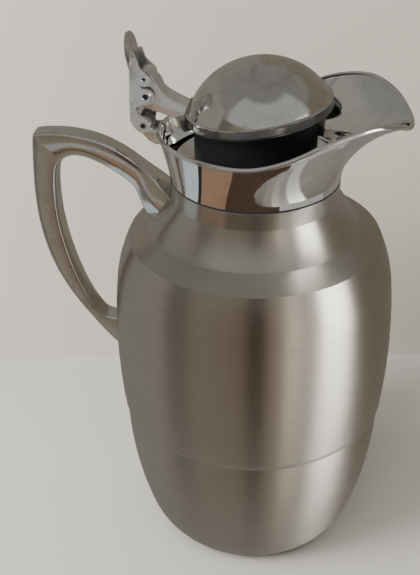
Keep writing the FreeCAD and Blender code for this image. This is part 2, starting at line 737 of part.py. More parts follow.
outline(tab_trim, [
    ("-" + TAB_HALF, "lever_tip_z - " + TAB_HALF, TAB_HALF, "right"),
    ("0", "lever_tip_z", TAB_HALF, "right"),
    (TAB_HALF, "lever_tip_z - " + TAB_HALF),
    (TAB_HALF + " + 1", "lever_tip_z - " + TAB_HALF),
    (TAB_HALF + " + 1", "lever_tip_z + 5"),
    ("-" + TAB_HALF + " - 1", "lever_tip_z + 5"),
    ("-" + TAB_HALF + " - 1", "lever_tip_z - " + TAB_HALF),
])
tab_round = thumb_lever.newObject("PartDesign::Pocket", "tab_round")
tab_round.Profile = (tab_trim, [""])
tab_round.SideType = "Symmetric"
tab_round.setExpression("Length", formula("lever_back * 4"))
doc.recompute()

# Handle and its screws --------------------------------------------------------------------

handle = body("handle")
FOOT_SHARE = "(lower_screw_z - seam_height) / (upper_side_height - seam_height)"
FOOT_SIDE = "(seam_radius + (upper_side_radius - seam_radius) * " + FOOT_SHARE + ")"
INSIDE_SKIN = "neck_radius - 3"
across(handle, "handle_bow", [
    ("handle_top_x", "handle_top_z", "handle_top_curve", "right"),
    ("-neck_radius - 17.2", "neck_height + 6.8"),
    ("-neck_radius - 3.3", "neck_height - 5.9"),
    ("-" + INSIDE_SKIN, "neck_height - 8"),
    ("-" + INSIDE_SKIN, "ridge_height + 2"),
    ("-ridge_radius + cove_width - 0.6", "ridge_height"),
    ("-ridge_radius + 7", "ridge_height + 6.5"),
    ("-ridge_radius + 5.4", "ridge_height + 16", "handle_top_curve * 0.75", "left"),
    ("handle_top_x + handle_bar * 2", "handle_top_z - handle_bar * 0.95", "grip_corner * 1.25", "left"),
    ("handle_top_x + handle_bar * 0.8", "handle_top_z - handle_bar * 0.95 - 20",
     "handle_back_curve + 6", "left"),
    ("-" + FOOT_SIDE + " - 9", "handle_foot_z + handle_foot_height + 0.4"),
    ("-" + FOOT_SIDE + " + 3", "handle_foot_z + handle_foot_height - 0.3"),
    ("-" + FOOT_SIDE + " + 3", "handle_foot_z - 3"),
    ("-" + FOOT_SIDE + " - 1.7", "handle_foot_z - 1.5", "handle_back_curve + 4", "right"),
], "handle_width")
across(handle, "handle_root_flare", [
    ("-ridge_radius + 4.9", "ridge_height + 16"),
    ("-ridge_radius + 6.4", "ridge_height + 6"),
    ("-ridge_radius + cove_width", "ridge_height"),
    ("-" + INSIDE_SKIN, "ridge_height + 2"),
    ("-" + INSIDE_SKIN, "neck_height - 9"),
    ("-neck_radius - 3.3", "neck_height - 5.9"),
    ("-neck_radius - 7", "neck_height - 3.4"),
], "root_width")
spin(handle, "handle_seat", [
    ("0", "seam_height"),
    ("seam_radius + seat_gap", "seam_height", "side_curve + seat_gap", "left"),
    ("upper_side_radius + seat_gap", "upper_side_height", "crown_curve + seat_gap", "left"),
    ("ridge_radius + seat_gap", "ridge_height + seat_gap"),
    ("ridge_radius - cove_width", "ridge_height + cove_rise + seat_gap", "cove_curve - seat_gap", "right"),
    ("neck_radius + seat_gap", "neck_height - neck_straight"),
    ("neck_radius + seat_gap", "neck_height"),
    ("0", "neck_height"),
], "Groove")


def along_x(piece, name, kind, z, radii, start, length=None):
    """Pad or bore round sections along X from a plane; a bore with no length runs out towards -X."""
    drawing = sketch(piece, name + "_profile", "YZ_Plane", start)
    for radius in radii:
        circle(drawing, "0", z, radius)
    feature = piece.newObject("PartDesign::" + kind, name)
    feature.Profile = (drawing, [""])
    if length:
        feature.setExpression("Length", formula(length))
        feature.Reversed = kind == "Pocket"
    else:
        feature.Type = "ThroughAll"
    doc.recompute()


SCREW_HEIGHTS = (
    ("upper", "upper_screw_z", "neck_radius - shell_wall - 0.4"),
    ("lower", "lower_screw_z", FOOT_SIDE + " + 0.7"),
)
for place, height, inside in SCREW_HEIGHTS:
    along_x(body_shell, place + "_screw_hole", "Pocket", height, ["screw_radius + slip_gap"], "0")
    reach = "-(" + inside + ") - handle_screw_length"
    along_x(handle, place + "_tapped_hole", "Pocket", height, ["screw_radius"],
            reach, "handle_screw_length * 2")
    washer = body(place + "_handle_washer")
    along_x(washer, place + "_washer_disc", "Pad", height, ["washer_radius", "screw_radius + slip_gap"],
            "-(" + inside + ")", "washer_wall")
    screw = body(place + "_handle_screw")
    along_x(screw, place + "_screw_shank", "Pad", height, ["screw_radius - slip_gap * 0.5"],
            reach + " + 0.3", "handle_screw_length + washer_wall")
    along_x(screw, place + "_screw_head", "Pad", height, ["screw_head_radius * 0.9"],
            "-(" + inside + ") + washer_wall", "screw_radius")

# Check every object, then write one file for each sub-part ----------------------------------

doc.recompute()
for item in doc.Objects:
    if "Invalid" in item.State or "Error" in item.State:
        raise RuntimeError("failed object: " + item.Name)
for piece in nodes:
    if piece.Shape.isNull() or not piece.Shape.isValid() or not piece.Shape.Solids:
        raise RuntimeError("bad shape: " + piece.Label)
os.makedirs("parts", exist_ok=True)
for piece in nodes:
    piece.Shape.exportStep("parts/" + piece.Label + ".step")
    box = piece.Shape.BoundBox
    print("%-20s solids %d volume %9.0f  x %7.1f %7.1f  y %6.1f %6.1f  z %6.1f %6.1f" % (
        piece.Label, len(piece.Shape.Solids), piece.Shape.Volume,
        box.XMin, box.XMax, box.YMin, box.YMax, box.ZMin, box.ZMax))
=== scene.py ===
import bmesh
import bpy
from math import atan2, cos, hypot, pi, radians, sin, sqrt, tan, tau
from mathutils import Matrix, Vector


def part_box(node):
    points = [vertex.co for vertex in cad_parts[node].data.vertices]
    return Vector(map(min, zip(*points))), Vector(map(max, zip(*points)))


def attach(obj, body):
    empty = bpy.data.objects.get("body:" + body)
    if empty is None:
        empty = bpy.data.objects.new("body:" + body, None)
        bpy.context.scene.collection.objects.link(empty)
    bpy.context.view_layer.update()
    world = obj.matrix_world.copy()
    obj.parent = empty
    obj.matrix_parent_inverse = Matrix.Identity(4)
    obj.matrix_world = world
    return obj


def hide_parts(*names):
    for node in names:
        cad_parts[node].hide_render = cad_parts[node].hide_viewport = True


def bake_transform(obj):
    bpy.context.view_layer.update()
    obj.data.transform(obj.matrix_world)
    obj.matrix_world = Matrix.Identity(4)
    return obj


# An insulated jug: brushed steel body, mirror-polished pouring collar with a wide lip, domed
# lid on a black stopper, thumb lever and loop handle. Shapes are given in millimetres in the
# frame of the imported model: z = 0 under the foot, the lip towards +X, the handle towards -X.

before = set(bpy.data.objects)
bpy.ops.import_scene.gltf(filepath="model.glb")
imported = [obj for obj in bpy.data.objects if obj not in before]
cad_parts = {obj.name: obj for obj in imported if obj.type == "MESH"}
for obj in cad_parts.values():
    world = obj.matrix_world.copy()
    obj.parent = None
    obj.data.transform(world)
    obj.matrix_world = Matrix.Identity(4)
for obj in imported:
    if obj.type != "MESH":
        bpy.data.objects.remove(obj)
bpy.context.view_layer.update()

MM = 0.001
ROUND_STEPS = 192       # faces once round a large turned piece
MERGE = 1e-6            # points closer than this are one
CREASE = 34             # edges steeper than this stay crisp, in degrees


def spot(x, y, z):
    """A point given in millimetres."""
    return Vector((x, y, z)) * MM


def low(node):
    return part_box(node)[0] / MM


def high(node):
    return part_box(node)[1] / MM


# Shared shader groups ---------------------------------------------------------------------


def new_group(name, inputs, outputs):
    """Start a shader group with named number inputs and outputs."""
    group = bpy.data.node_groups.new(name, "ShaderNodeTree")
    for label, default in inputs:
        socket = group.interface.new_socket(name=label, in_out="INPUT", socket_type="NodeSocketFloat")
        socket.default_value = default
    for label in outputs:
        group.interface.new_socket(name=label, in_out="OUTPUT", socket_type="NodeSocketFloat")
    return group, group.nodes.new("NodeGroupInput"), group.nodes.new("NodeGroupOutput")


def calculate(tree, operation, *values, clamp=False):
    """Add a Math node; a value is a number or another node's output."""
    node = tree.nodes.new("ShaderNodeMath")
    node.operation = operation
    node.use_clamp = clamp
    for socket, item in zip(node.inputs, values):
        if isinstance(item, (int, float)):
            socket.default_value = item
        else:
            tree.links.new(item, socket)
    return node.outputs[0]


def noise_of(tree, vector, scale, detail=3.0, roughness=0.55, distortion=0.0):
    """Add a noise texture read at a vector; the scale is a number or an output."""
    node = tree.nodes.new("ShaderNodeTexNoise")
    tree.links.new(vector, node.inputs["Vector"])
    if isinstance(scale, (int, float)):
        node.inputs["Scale"].default_value = scale
    else:
        tree.links.new(scale, node.inputs["Scale"])
    node.inputs["Detail"].default_value = detail
    node.inputs["Roughness"].default_value = roughness
    node.inputs["Distortion"].default_value = distortion
    return node.outputs["Fac"]


def band_of(tree, value, lowest, highest):
    """Go smoothly from 0 to 1 as a value goes from a lowest to a highest level."""
    node = tree.nodes.new("ShaderNodeMapRange")
    node.interpolation_type = "SMOOTHSTEP"
    node.inputs["From Min"].default_value = lowest
    node.inputs["From Max"].default_value = highest
    tree.links.new(value, node.inputs["Value"])
    return node.outputs["Result"]


def brushing_group():
    """Fine brushing that runs round Z: grain is the single strokes, drift is broad unevenness."""
    group, given, result = new_group(
        "brushing_round", [("Strokes", 1500.0), ("Length", 30.0)], ["Grain", "Drift", "Scratch"])
    place = group.nodes.new("ShaderNodeTexCoord").outputs["Object"]
    split = group.nodes.new("ShaderNodeSeparateXYZ")
    group.links.new(place, split.inputs[0])
    across = calculate(group, "SQRT", calculate(
        group, "ADD",
        calculate(group, "MULTIPLY", split.outputs["X"], split.outputs["X"]),
        calculate(group, "MULTIPLY", split.outputs["Y"], split.outputs["Y"])))
    along = calculate(group, "SUBTRACT", split.outputs["Z"], across)
    stretched = group.nodes.new("ShaderNodeCombineXYZ")
    for axis, value, density in (("X", split.outputs["X"], "Length"),
                                 ("Y", split.outputs["Y"], "Length"), ("Z", along, "Strokes")):
        group.links.new(calculate(group, "MULTIPLY", value, given.outputs[density]),
                        stretched.inputs[axis])
    grain = noise_of(group, stretched.outputs[0], 1.0, 4.0, 0.65, 0.2)
    group.links.new(band_of(group, grain, 0.25, 0.75), result.inputs["Grain"])
    group.links.new(noise_of(group, place, 26.0, 4.0, 0.6, 0.6), result.inputs["Drift"])
    wander = noise_of(group, place, 19.0, 1.5, 0.4, 1.6)
    thin = calculate(group, "ABSOLUTE", calculate(group, "SUBTRACT", wander, 0.5))
    line = calculate(group, "SUBTRACT", 1.0, band_of(group, thin, 0.0, 0.0035))
    here = band_of(group, noise_of(group, place, 31.0, 2.0), 0.56, 0.66)
    group.links.new(calculate(group, "MULTIPLY", line, here), result.inputs["Scratch"])
    return group


def smudge_group():
    """Handling marks on a polished skin: haze is soft patches, specks are dust and water spots."""
    group, given, result = new_group(
        "smudges", [("Size", 60.0), ("Speck", 900.0)], ["Haze", "Specks", "Ripple"])
    place = group.nodes.new("ShaderNodeTexCoord").outputs["Object"]
    haze = noise_of(group, place, given.outputs["Size"], 6.0, 0.62, 0.9)
    group.links.new(band_of(group, haze, 0.42, 0.78), result.inputs["Haze"])
    dots = group.nodes.new("ShaderNodeTexVoronoi")
    group.links.new(place, dots.inputs["Vector"])
    group.links.new(given.outputs["Speck"], dots.inputs["Scale"])
    size = calculate(group, "SUBTRACT", 1.0, band_of(group, dots.outputs["Distance"], 0.05, 0.16))
    coarse = calculate(group, "MULTIPLY", given.outputs["Speck"], 0.13)
    rare = band_of(group, noise_of(group, place, coarse, 2.0), 0.62, 0.70)
    group.links.new(calculate(group, "MULTIPLY", size, rare), result.inputs["Specks"])
    waves = calculate(group, "MULTIPLY", given.outputs["Size"], 2.2)
    group.links.new(noise_of(group, place, waves, 2.0), result.inputs["Ripple"])
    return group


def grain_group():
    """The faint moulded or cast texture of plastic, rubber, foam and unpolished metal."""
    group, given, result = new_group("moulded_grain", [("Size", 1400.0)], ["Grain", "Drift"])
    place = group.nodes.new("ShaderNodeTexCoord").outputs["Object"]
    group.links.new(noise_of(group, place, given.outputs["Size"], 3.0, 0.6), result.inputs["Grain"])
    group.links.new(noise_of(group, place, 45.0, 3.0, 0.5), result.inputs["Drift"])
    return group


BRUSHING = brushing_group()
SMUDGES = smudge_group()
GRAIN = grain_group()


# Materials --------------------------------------------------------------------------------


def start_material(name, **sockets):
    """A material with its own Principled shader; constants go straight on its sockets."""
    finish = bpy.data.materials.new(name)
    finish.use_nodes = True
    tree = finish.node_tree
    shader = tree.nodes["Principled BSDF"]
    for socket, value in sockets.items():
        shader.inputs[socket.replace("_", " ")].default_value = value
    return finish, tree, shader


def add_group(tree, group, **values):
    node = tree.nodes.new("ShaderNodeGroup")
    node.node_tree = group
    for socket, value in values.items():
        node.inputs[socket].default_value = value
    return node


def vary(tree, amount, start, end):
    """Go from one number to another as an amount goes from 0 to 1."""
    node = tree.nodes.new("ShaderNodeMapRange")
    node.inputs["To Min"].default_value = start
    node.inputs["To Max"].default_value = end
    tree.links.new(amount, node.inputs["Value"])
    return node.outputs["Result"]


def tint(tree, amount, start, end):
    """Go from one colour to another as an amount goes from 0 to 1; either may be an output."""
    node = tree.nodes.new("ShaderNodeMix")
    node.data_type = "RGBA"
    tree.links.new(amount, node.inputs[0])
    for socket, colour in ((node.inputs[6], start), (node.inputs[7], end)):
        if isinstance(colour, tuple):
            socket.default_value = (*colour, 1.0)
        else:
            tree.links.new(colour, socket)
    return node.outputs[2]


def bump(tree, shader, height, distance, strength=1.0):
    node = tree.nodes.new("ShaderNodeBump")
    node.inputs["Strength"].default_value = strength
    node.inputs["Distance"].default_value = distance
    tree.links.new(height, node.inputs["Height"])
    tree.links.new(node.outputs["Normal"], shader.inputs["Normal"])


def brushed_metal(name, dark, pale, rough, strokes, length, anisotropy, depth):
    """Steel brushed round the jug's axis, with uneven drift and a few faint scratches."""
    finish, tree, shader = start_material(
        name, Metallic=1.0, Anisotropic=anisotropy, Anisotropic_Rotation=0.25)
    lay = add_group(tree, BRUSHING, Strokes=strokes, Length=length)
    marks = add_group(tree, SMUDGES, Size=42.0, Speck=500.0)
    strokes_tint = tint(tree, lay.outputs["Grain"], dark, pale)
    cloudy = tint(tree, vary(tree, lay.outputs["Drift"], 0.0, 0.25), strokes_tint, dark)
    scratched = tint(tree, vary(tree, lay.outputs["Scratch"], 0.0, 0.35), cloudy, pale)
    tree.links.new(scratched, shader.inputs["Base Color"])
    base = vary(tree, lay.outputs["Grain"], rough + 0.03, rough - 0.03)
    hazy = calculate(tree, "ADD", base, vary(tree, marks.outputs["Haze"], 0.0, 0.05))
    tree.links.new(hazy, shader.inputs["Roughness"])
    bump(tree, shader, lay.outputs["Grain"], depth)
    direction = tree.nodes.new("ShaderNodeTangent")
    direction.direction_type = "RADIAL"
    direction.axis = "Z"
    tree.links.new(direction.outputs[0], shader.inputs["Tangent"])
    return finish


def polished_metal(name, clean, dull, rough, haze, size, ripple, metal=1.0):
    """Mirror-polished plate with handling haze, specks and a slight waviness."""
    finish, tree, shader = start_material(name, Metallic=metal)
    marks = add_group(tree, SMUDGES, Size=size, Speck=1100.0)
    hazed = tint(tree, marks.outputs["Haze"], clean, dull)
    specked = tint(tree, vary(tree, marks.outputs["Specks"], 0.0, 0.5), hazed, dull)
    tree.links.new(specked, shader.inputs["Base Color"])
    base = vary(tree, marks.outputs["Haze"], rough, rough + haze)
    spotted = calculate(tree, "ADD", base, vary(tree, marks.outputs["Specks"], 0.0, 0.2))
    tree.links.new(spotted, shader.inputs["Roughness"])
    bump(tree, shader, marks.outputs["Ripple"], ripple)
    return finish


def moulded(name, dark, pale, rough, size, depth, **sockets):
    """Plastic, rubber, foam or cast metal with a fine grain and a little drift of tone."""
    finish, tree, shader = start_material(name, **sockets)
    texture = add_group(tree, GRAIN, Size=size)
    tree.links.new(tint(tree, texture.outputs["Drift"], dark, pale), shader.inputs["Base Color"])
    uneven = vary(tree, texture.outputs["Grain"], rough - 0.05, rough + 0.08)
    tree.links.new(uneven, shader.inputs["Roughness"])
    bump(tree, shader, texture.outputs["Grain"], depth)
    return finish


brushed_steel = brushed_metal(
    "brushed_steel", dark=(0.56, 0.53, 0.48), pale=(0.66, 0.63, 0.58), rough=0.30,
    strokes=2200.0, length=16.0, anisotropy=0.82, depth=0.000004)
mirror_chrome = polished_metal(
    "mirror_chrome", clean=(0.88, 0.88, 0.87), dull=(0.74, 0.73, 0.70), rough=0.03,
    haze=0.06, size=70.0, ripple=0.00002)
dome_chrome = polished_metal(
    "dome_chrome", clean=(0.74, 0.73, 0.70), dull=(0.60, 0.58, 0.54), rough=0.07,
    haze=0.14, size=95.0, ripple=0.00003)
lever_chrome = polished_metal(
    "lever_chrome", clean=(0.80, 0.80, 0.80), dull=(0.60, 0.60, 0.59), rough=0.14,
    haze=0.10, size=160.0, ripple=0.00004, metal=0.9)
handle_chrome = polished_metal(
    "handle_chrome", clean=(0.82, 0.81, 0.79), dull=(0.66, 0.65, 0.61), rough=0.13,
    haze=0.10, size=80.0, ripple=0.00003)
band_chrome = polished_metal(
    "band_chrome", clean=(0.26, 0.26, 0.265), dull=(0.18, 0.18, 0.18), rough=0.20,
    haze=0.10, size=120.0, ripple=0.00002)
plain_steel = moulded(
    "plain_steel", dark=(0.48, 0.48, 0.48), pale=(0.60, 0.59, 0.58), rough=0.30,
    size=2200.0, depth=0.00001, Metallic=1.0)
spring_steel = moulded(
    "spring_steel", dark=(0.34, 0.34, 0.35), pale=(0.48, 0.47, 0.46), rough=0.28,
    size=2600.0, depth=0.00001, Metallic=1.0)
weld_metal = moulded(
    "weld_metal", dark=(0.30, 0.29, 0.27), pale=(0.62, 0.60, 0.56), rough=0.30,
    size=1500.0, depth=0.0002, Metallic=1.0)
black_plastic = moulded(
    "black_plastic", dark=(0.008, 0.008, 0.009), pale=(0.014, 0.014, 0.015), rough=0.38,
    size=1800.0, depth=0.00002)
seal_rubber = moulded(
    "seal_rubber", dark=(0.010, 0.010, 0.010), pale=(0.022, 0.021, 0.020), rough=0.62,
    size=1500.0, depth=0.00003)
foot_rubber = moulded(
    "foot_rubber", dark=(0.018, 0.018, 0.018), pale=(0.035, 0.034, 0.032), rough=0.70,
    size=1200.0, depth=0.00005)
silicone = moulded(
    "silicone", dark=(0.46, 0.45, 0.43), pale=(0.58, 0.57, 0.54), rough=0.42,
    size=1500.0, depth=0.00002)
foam = moulded(
    "foam", dark=(0.78, 0.75, 0.66), pale=(0.88, 0.86, 0.79), rough=0.85,
    size=500.0, depth=0.0003)
silvered_glass = moulded(
    "silvered_glass", dark=(0.80, 0.82, 0.83), pale=(0.86, 0.87, 0.88), rough=0.08,
    size=300.0, depth=0.00001, Metallic=0.9)


# Making pieces ----------------------------------------------------------------------------


def complete(name, bm, body, slot, material, *stands_for, crease=CREASE):
    """Turn a finished bmesh into a smooth-shaded piece, and let it ride on a body if one is given."""
    bmesh.ops.remove_doubles(bm, verts=bm.verts, dist=MERGE)
    bmesh.ops.dissolve_degenerate(bm, edges=bm.edges, dist=MERGE)
    bmesh.ops.recalc_face_normals(bm, faces=bm.faces)
    mesh = bpy.data.meshes.new(name)
    bm.to_mesh(mesh)
    bm.free()
    mesh.shade_smooth()
    mesh.set_sharp_from_angle(angle=radians(crease))
    mesh.materials.append(material)
    piece = bpy.data.objects.new(name, mesh)
    bpy.context.scene.collection.objects.link(piece)
    if body:
        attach(piece, body)
    if stands_for:
        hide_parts(*stands_for)
    return piece


def soften(bm, width, segments=2, steepest=30, chosen=None):
    """Round every edge steeper than an angle, or only the chosen ones among them."""
    sharp = [edge for edge in bm.edges
             if len(edge.link_faces) == 2 and edge.calc_face_angle() > radians(steepest)
             and (chosen is None or chosen(edge))]
    bmesh.ops.bevel(bm, geom=sharp, offset=width * MM, affect="EDGES", segments=segments,
                    profile=0.5, material=-1, clamp_overlap=True)


def arc(start, stop, radius, side, count=14):
    """Points on an arc from start to stop, without stop; its centre lies left or right of the way."""
    turn = 1 if side == "left" else -1
    dx, dz = stop[0] - start[0], stop[1] - start[1]
    half = hypot(dx, dz) / 2
    rise = sqrt(radius ** 2 - half ** 2) * turn
    centre = (start[0] + dx / 2 - dz / (2 * half) * rise, start[1] + dz / 2 + dx / (2 * half) * rise)
    first = atan2(start[1] - centre[1], start[0] - centre[0])
    last = atan2(stop[1] - centre[1], stop[0] - centre[0])
    sweep = (last - first + pi) % tau - pi
    return [(centre[0] + radius * cos(first + sweep * step / count),
             centre[1] + radius * sin(first + sweep * step / count)) for step in range(count)]


def turned(outline, steps=ROUND_STEPS):
    """Turn a closed outline of (radius, height) once round Z. A side on the axis is left out."""
    bm = bmesh.new()
    verts = [bm.verts.new(spot(radius, 0, height)) for radius, height in outline]
    sides = [pair for pair in zip(verts, verts[1:] + verts[:1])
             if pair[0].co.x > MERGE or pair[1].co.x > MERGE]
    edges = [bm.edges.new(pair) for pair in sides]
    bmesh.ops.spin(bm, geom=verts + edges, cent=(0, 0, 0), axis=(0, 0, 1), angle=tau, steps=steps,
                   use_merge=True, use_duplicate=False)
    bmesh.ops.remove_doubles(bm, verts=bm.verts, dist=MERGE)
    bmesh.ops.dissolve_degenerate(bm, edges=bm.edges, dist=MERGE)
    bmesh.ops.recalc_face_normals(bm, faces=bm.faces)
    return bm


def lofted(count, places, closed=False):
    """Draw a ring of points out through each place, a formula from a share of the way round to
    a point in millimetres. The ends are capped, or joined to each other when closed."""
    bm = bmesh.new()
    around = bm.verts.layers.float.new("around")
    ring = bmesh.ops.create_circle(bm, segments=count, radius=1)["verts"]
    for vert in ring:
        vert[around] = (atan2(vert.co.y, vert.co.x) / tau) % 1.0
    edges = list(bm.edges)
    first = edges
    for number, place in enumerate(places):
        if number:
            made = bmesh.ops.extrude_edge_only(bm, edges=edges)["geom"]
            ring = [item for item in made if isinstance(item, bmesh.types.BMVert)]
            inside = set(ring)
            edges = [item for item in made if isinstance(item, bmesh.types.BMEdge)
                     and item.verts[0] in inside and item.verts[1] in inside]
        for vert in ring:
            vert.co = Vector(place(vert[around])) * MM
    if closed:
        bmesh.ops.bridge_loops(bm, edges=first + edges)
    else:
        bmesh.ops.edgenet_fill(bm, edges=first)
        bmesh.ops.edgenet_fill(bm, edges=edges)
    bmesh.ops.recalc_face_normals(bm, faces=bm.faces)
    return bm


def plate(outline, near, far, holes=()):
    """A flat plate cut to an outline in the XZ plane, between two places along Y."""
    bm = bmesh.new()
    edges = []
    for loop in (outline, *holes):
        verts = [bm.verts.new(spot(x, near, z)) for x, z in loop]
        edges += [bm.edges.new(pair) for pair in zip(verts, verts[1:] + verts[:1])]
    bmesh.ops.triangle_fill(bm, edges=edges, use_beauty=True, use_dissolve=False)
    made = bmesh.ops.extrude_face_region(bm, geom=bm.faces[:])["geom"]
    moved = [item for item in made if isinstance(item, bmesh.types.BMVert)]
    bmesh.ops.translate(bm, verts=moved, vec=spot(0, far - near, 0))
    bmesh.ops.recalc_face_normals(bm, faces=bm.faces)
    return bm


def joined(*parts):
    """Put several bmeshes into one."""
    whole = bmesh.new()
    for part in parts:
        mesh = bpy.data.meshes.new("passing")
        part.to_mesh(mesh)
        part.free()
        whole.from_mesh(mesh)
        bpy.data.meshes.remove(mesh)
    return whole


def placed(bm, matrix):
    bmesh.ops.transform(bm, matrix=matrix, verts=bm.verts)
    return bm


def curve_through(points, steps):
    """A smooth line through points: each span is cut into steps, ends included."""
    made = []
    last = len(points) - 1
    for span in range(last):
        before, start = points[max(span - 1, 0)], points[span]
        stop, after = points[span + 1], points[min(span + 2, last)]
        for step in range(steps):
            t = step / steps
            made.append(tuple(
                0.5 * (2 * b + (c - a) * t + (2 * a - 5 * b + 4 * c - d) * t ** 2
                       + (3 * b - a - 3 * c + d) * t ** 3)
                for a, b, c, d in zip(before, start, stop, after)))
    return made + [tuple(points[last])]


def read_table(table, key):
    """Smoothly read a row of numbers between the rows of a table, by its first column."""
    place = max(index for index, row in enumerate(table[:-1]) if row[0] <= key)
    before, start = table[max(place - 1, 0)], table[place]
    stop, after = table[place + 1], table[min(place + 2, len(table) - 1)]
    t = (key - start[0]) / (stop[0] - start[0])
    span = stop[0] - start[0]
    values = []
    for column in range(1, len(start)):
        rise_in = (stop[column] - before[column]) / max(stop[0] - before[0], MERGE) * span
        rise_out = (after[column] - start[column]) / max(after[0] - start[0], MERGE) * span
        values.append((2 * t ** 3 - 3 * t ** 2 + 1) * start[column] + (t ** 3 - 2 * t ** 2 + t) * rise_in
                      + (3 * t ** 2 - 2 * t ** 3) * stop[column] + (t ** 3 - t ** 2) * rise_out)
    return values


# Body -------------------------------------------------------------------------------------

NECK_TOP = high("body_shell").z
SEAM = low("body_shell").z
NECK = 40.2             # the neck's radius
WALL = 0.8              # thickness of the two shells


def make_body():
    """The two brushed shells: the upper one stands proud of the lower one at the seam."""
    side = arc((68.0, SEAM + 0.6), (68.2, 149.0), 326, "left", 26)
    crown = arc((68.2, 149.0), (60.4, 175.0), 74, "left", 14)
    cove = arc((52.0, 178.6), (NECK, 196.2), 19.1, "right", 16)
    neck = [(NECK, 196.2), (NECK, NECK_TOP - 0.25), (NECK - 0.25, NECK_TOP)]
    inner = [(NECK - WALL, NECK_TOP), (NECK - WALL, 196.2), (51.7, 177.7), (59.4, 174.2),
             (67.4, 149.0), (69.1, 114.0), (66.8, SEAM)]
    rolled = [(67.3, SEAM), (67.8, SEAM + 0.25)]
    upper = turned(side + crown + cove + neck + inner + rolled)
    complete("upper_shell", upper, "root", "brushed_steel", brushed_steel, "body_shell")

    lap = 66.7
    heel = arc((49.6, 1.5), (57.1, 14.0), 38, "left", 8)
    lower_side = arc((57.1, 14.0), (lap, SEAM), 208, "left", 22)
    inside = [(lap, SEAM + 6), (lap - WALL, SEAM + 6), (lap - WALL, SEAM), (56.3, 14.0), (49.2, 2.3),
              (34.0, 2.3), (34.0, 1.5)]
    lower = turned(heel + lower_side + [(lap, SEAM)] + inside)
    soften(lower, 0.5, steepest=35)
    complete("lower_shell", lower, "root", "brushed_steel", brushed_steel, "base_shell")


def make_joint_ring():
    """The black ring squeezed between body and collar."""
    outline = [(NECK - 1.1, NECK_TOP), (NECK - 0.15, NECK_TOP), (NECK + 0.1, NECK_TOP + 0.3),
               (NECK + 0.1, NECK_TOP + 0.7), (NECK - 0.15, NECK_TOP + 1), (NECK - 1.1, NECK_TOP + 1)]
    complete("joint_ring", turned(outline), "root", "seal_rubber", seal_rubber, "collar_gasket")


# Pouring collar ---------------------------------------------------------------------------

COLLAR_FOOT = NECK_TOP + 1.0
SKIN = 1.0              # thickness of the collar's plate
BEAD = 1.15             # radius of the rolled rim
# Rim by angle from the lip: height of the skin's edge, slope of the skin there in degrees,
# and how far the skin's curve is pulled at its foot and at its rim.
RIM = [
    (0, 232.0, 0, 15.0, 16.0),
    (9, 234.2, 9, 14.6, 15.6),
    (20, 239.0, 27, 13.8, 14.6),
    (33, 241.8, 46, 12.4, 13.0),
    (50, 238.3, 60, 10.4, 11.0),
    (70, 230.5, 71, 8.2, 8.4),
    (90, 226.0, 77, 6.8, 6.6),
    (120, 225.1, 76, 6.2, 6.4),
    (150, 224.9, 74, 6.1, 6.6),
    (180, 224.9, 73, 6.1, 6.7),
]
# The rim is an oval from above: half its length, half its width, and its middle along X.
RIM_LONG, RIM_WIDE, RIM_CENTRE = 57.9, 45.6, 12.4
SKIN_STEPS = 22
BEAD_STEPS = 12


def rim_reach(angle):
    """How far the rim is from the jug's axis, in the direction of an angle."""
    a = cos(angle) ** 2 / RIM_LONG ** 2 + sin(angle) ** 2 / RIM_WIDE ** 2
    b = RIM_CENTRE * cos(angle) / RIM_LONG ** 2
    c = RIM_CENTRE ** 2 / RIM_LONG ** 2 - 1
    return (b + sqrt(b * b - a * c)) / a


def rim_at(share):
    """Where the rim is at a share of the way round: angle, reach, height, slope and pulls."""
    angle = share * tau
    turn = min(share, 1 - share) * 360
    height, slope, foot_pull, rim_pull = read_table(RIM, turn)
    return angle, rim_reach(angle), height, radians(slope), foot_pull, rim_pull


def collar_skin(share, rise, inset):
    """A point of the collar's skin, drawn in by an inset."""
    angle, reach, height, slope, foot_pull, rim_pull = rim_at(share)
    points = [(NECK, COLLAR_FOOT), (NECK + 0.7, COLLAR_FOOT + foot_pull),
              (reach - cos(slope) * rim_pull, height - sin(slope) * rim_pull), (reach, height)]
    weights = [(1 - rise) ** 3, 3 * rise * (1 - rise) ** 2, 3 * rise ** 2 * (1 - rise), rise ** 3]
    speeds = [-3 * (1 - rise) ** 2, 3 * (1 - rise) ** 2 - 6 * rise * (1 - rise),
              6 * rise * (1 - rise) - 3 * rise ** 2, 3 * rise ** 2]
    out = sum(w * p[0] for w, p in zip(weights, points))
    up = sum(w * p[1] for w, p in zip(weights, points))
    d_out = sum(w * p[0] for w, p in zip(speeds, points))
    d_up = sum(w * p[1] for w, p in zip(speeds, points))
    length = hypot(d_out, d_up)
    out -= inset * d_up / length
    up += inset * d_out / length
    return out * cos(angle), out * sin(angle), max(up, COLLAR_FOOT)


def collar_bead(share, turn):
    """A point on the rolled rim, turned round its section from outside to inside."""
    angle, reach, height, slope, *_ = rim_at(share)
    middle = (reach - sin(slope) * SKIN / 2, height + cos(slope) * SKIN / 2)
    out = middle[0] + BEAD * (cos(slope) * sin(turn) + sin(slope) * cos(turn))
    up = middle[1] + BEAD * (sin(slope) * sin(turn) - cos(slope) * cos(turn))
    return out * cos(angle), out * sin(angle), up


def make_collar():
    """The pouring collar: outer skin, rolled rim and inner skin drawn as one closed sheet."""
    rises = [step / SKIN_STEPS for step in range(SKIN_STEPS + 1)]
    outer = [lambda share, r=rise: collar_skin(share, r, 0) for rise in rises]
    turns = [radians(-42 + 264 * step / BEAD_STEPS) for step in range(BEAD_STEPS + 1)]
    bead = [lambda share, t=turn: collar_bead(share, t) for turn in turns]
    inner = [lambda share, r=rise: collar_skin(share, r, SKIN) for rise in reversed(rises)]
    complete("pouring_collar", lofted(ROUND_STEPS, outer + bead + inner, closed=True),
             "root", "mirror_chrome", mirror_chrome, "spout_collar", crease=50)


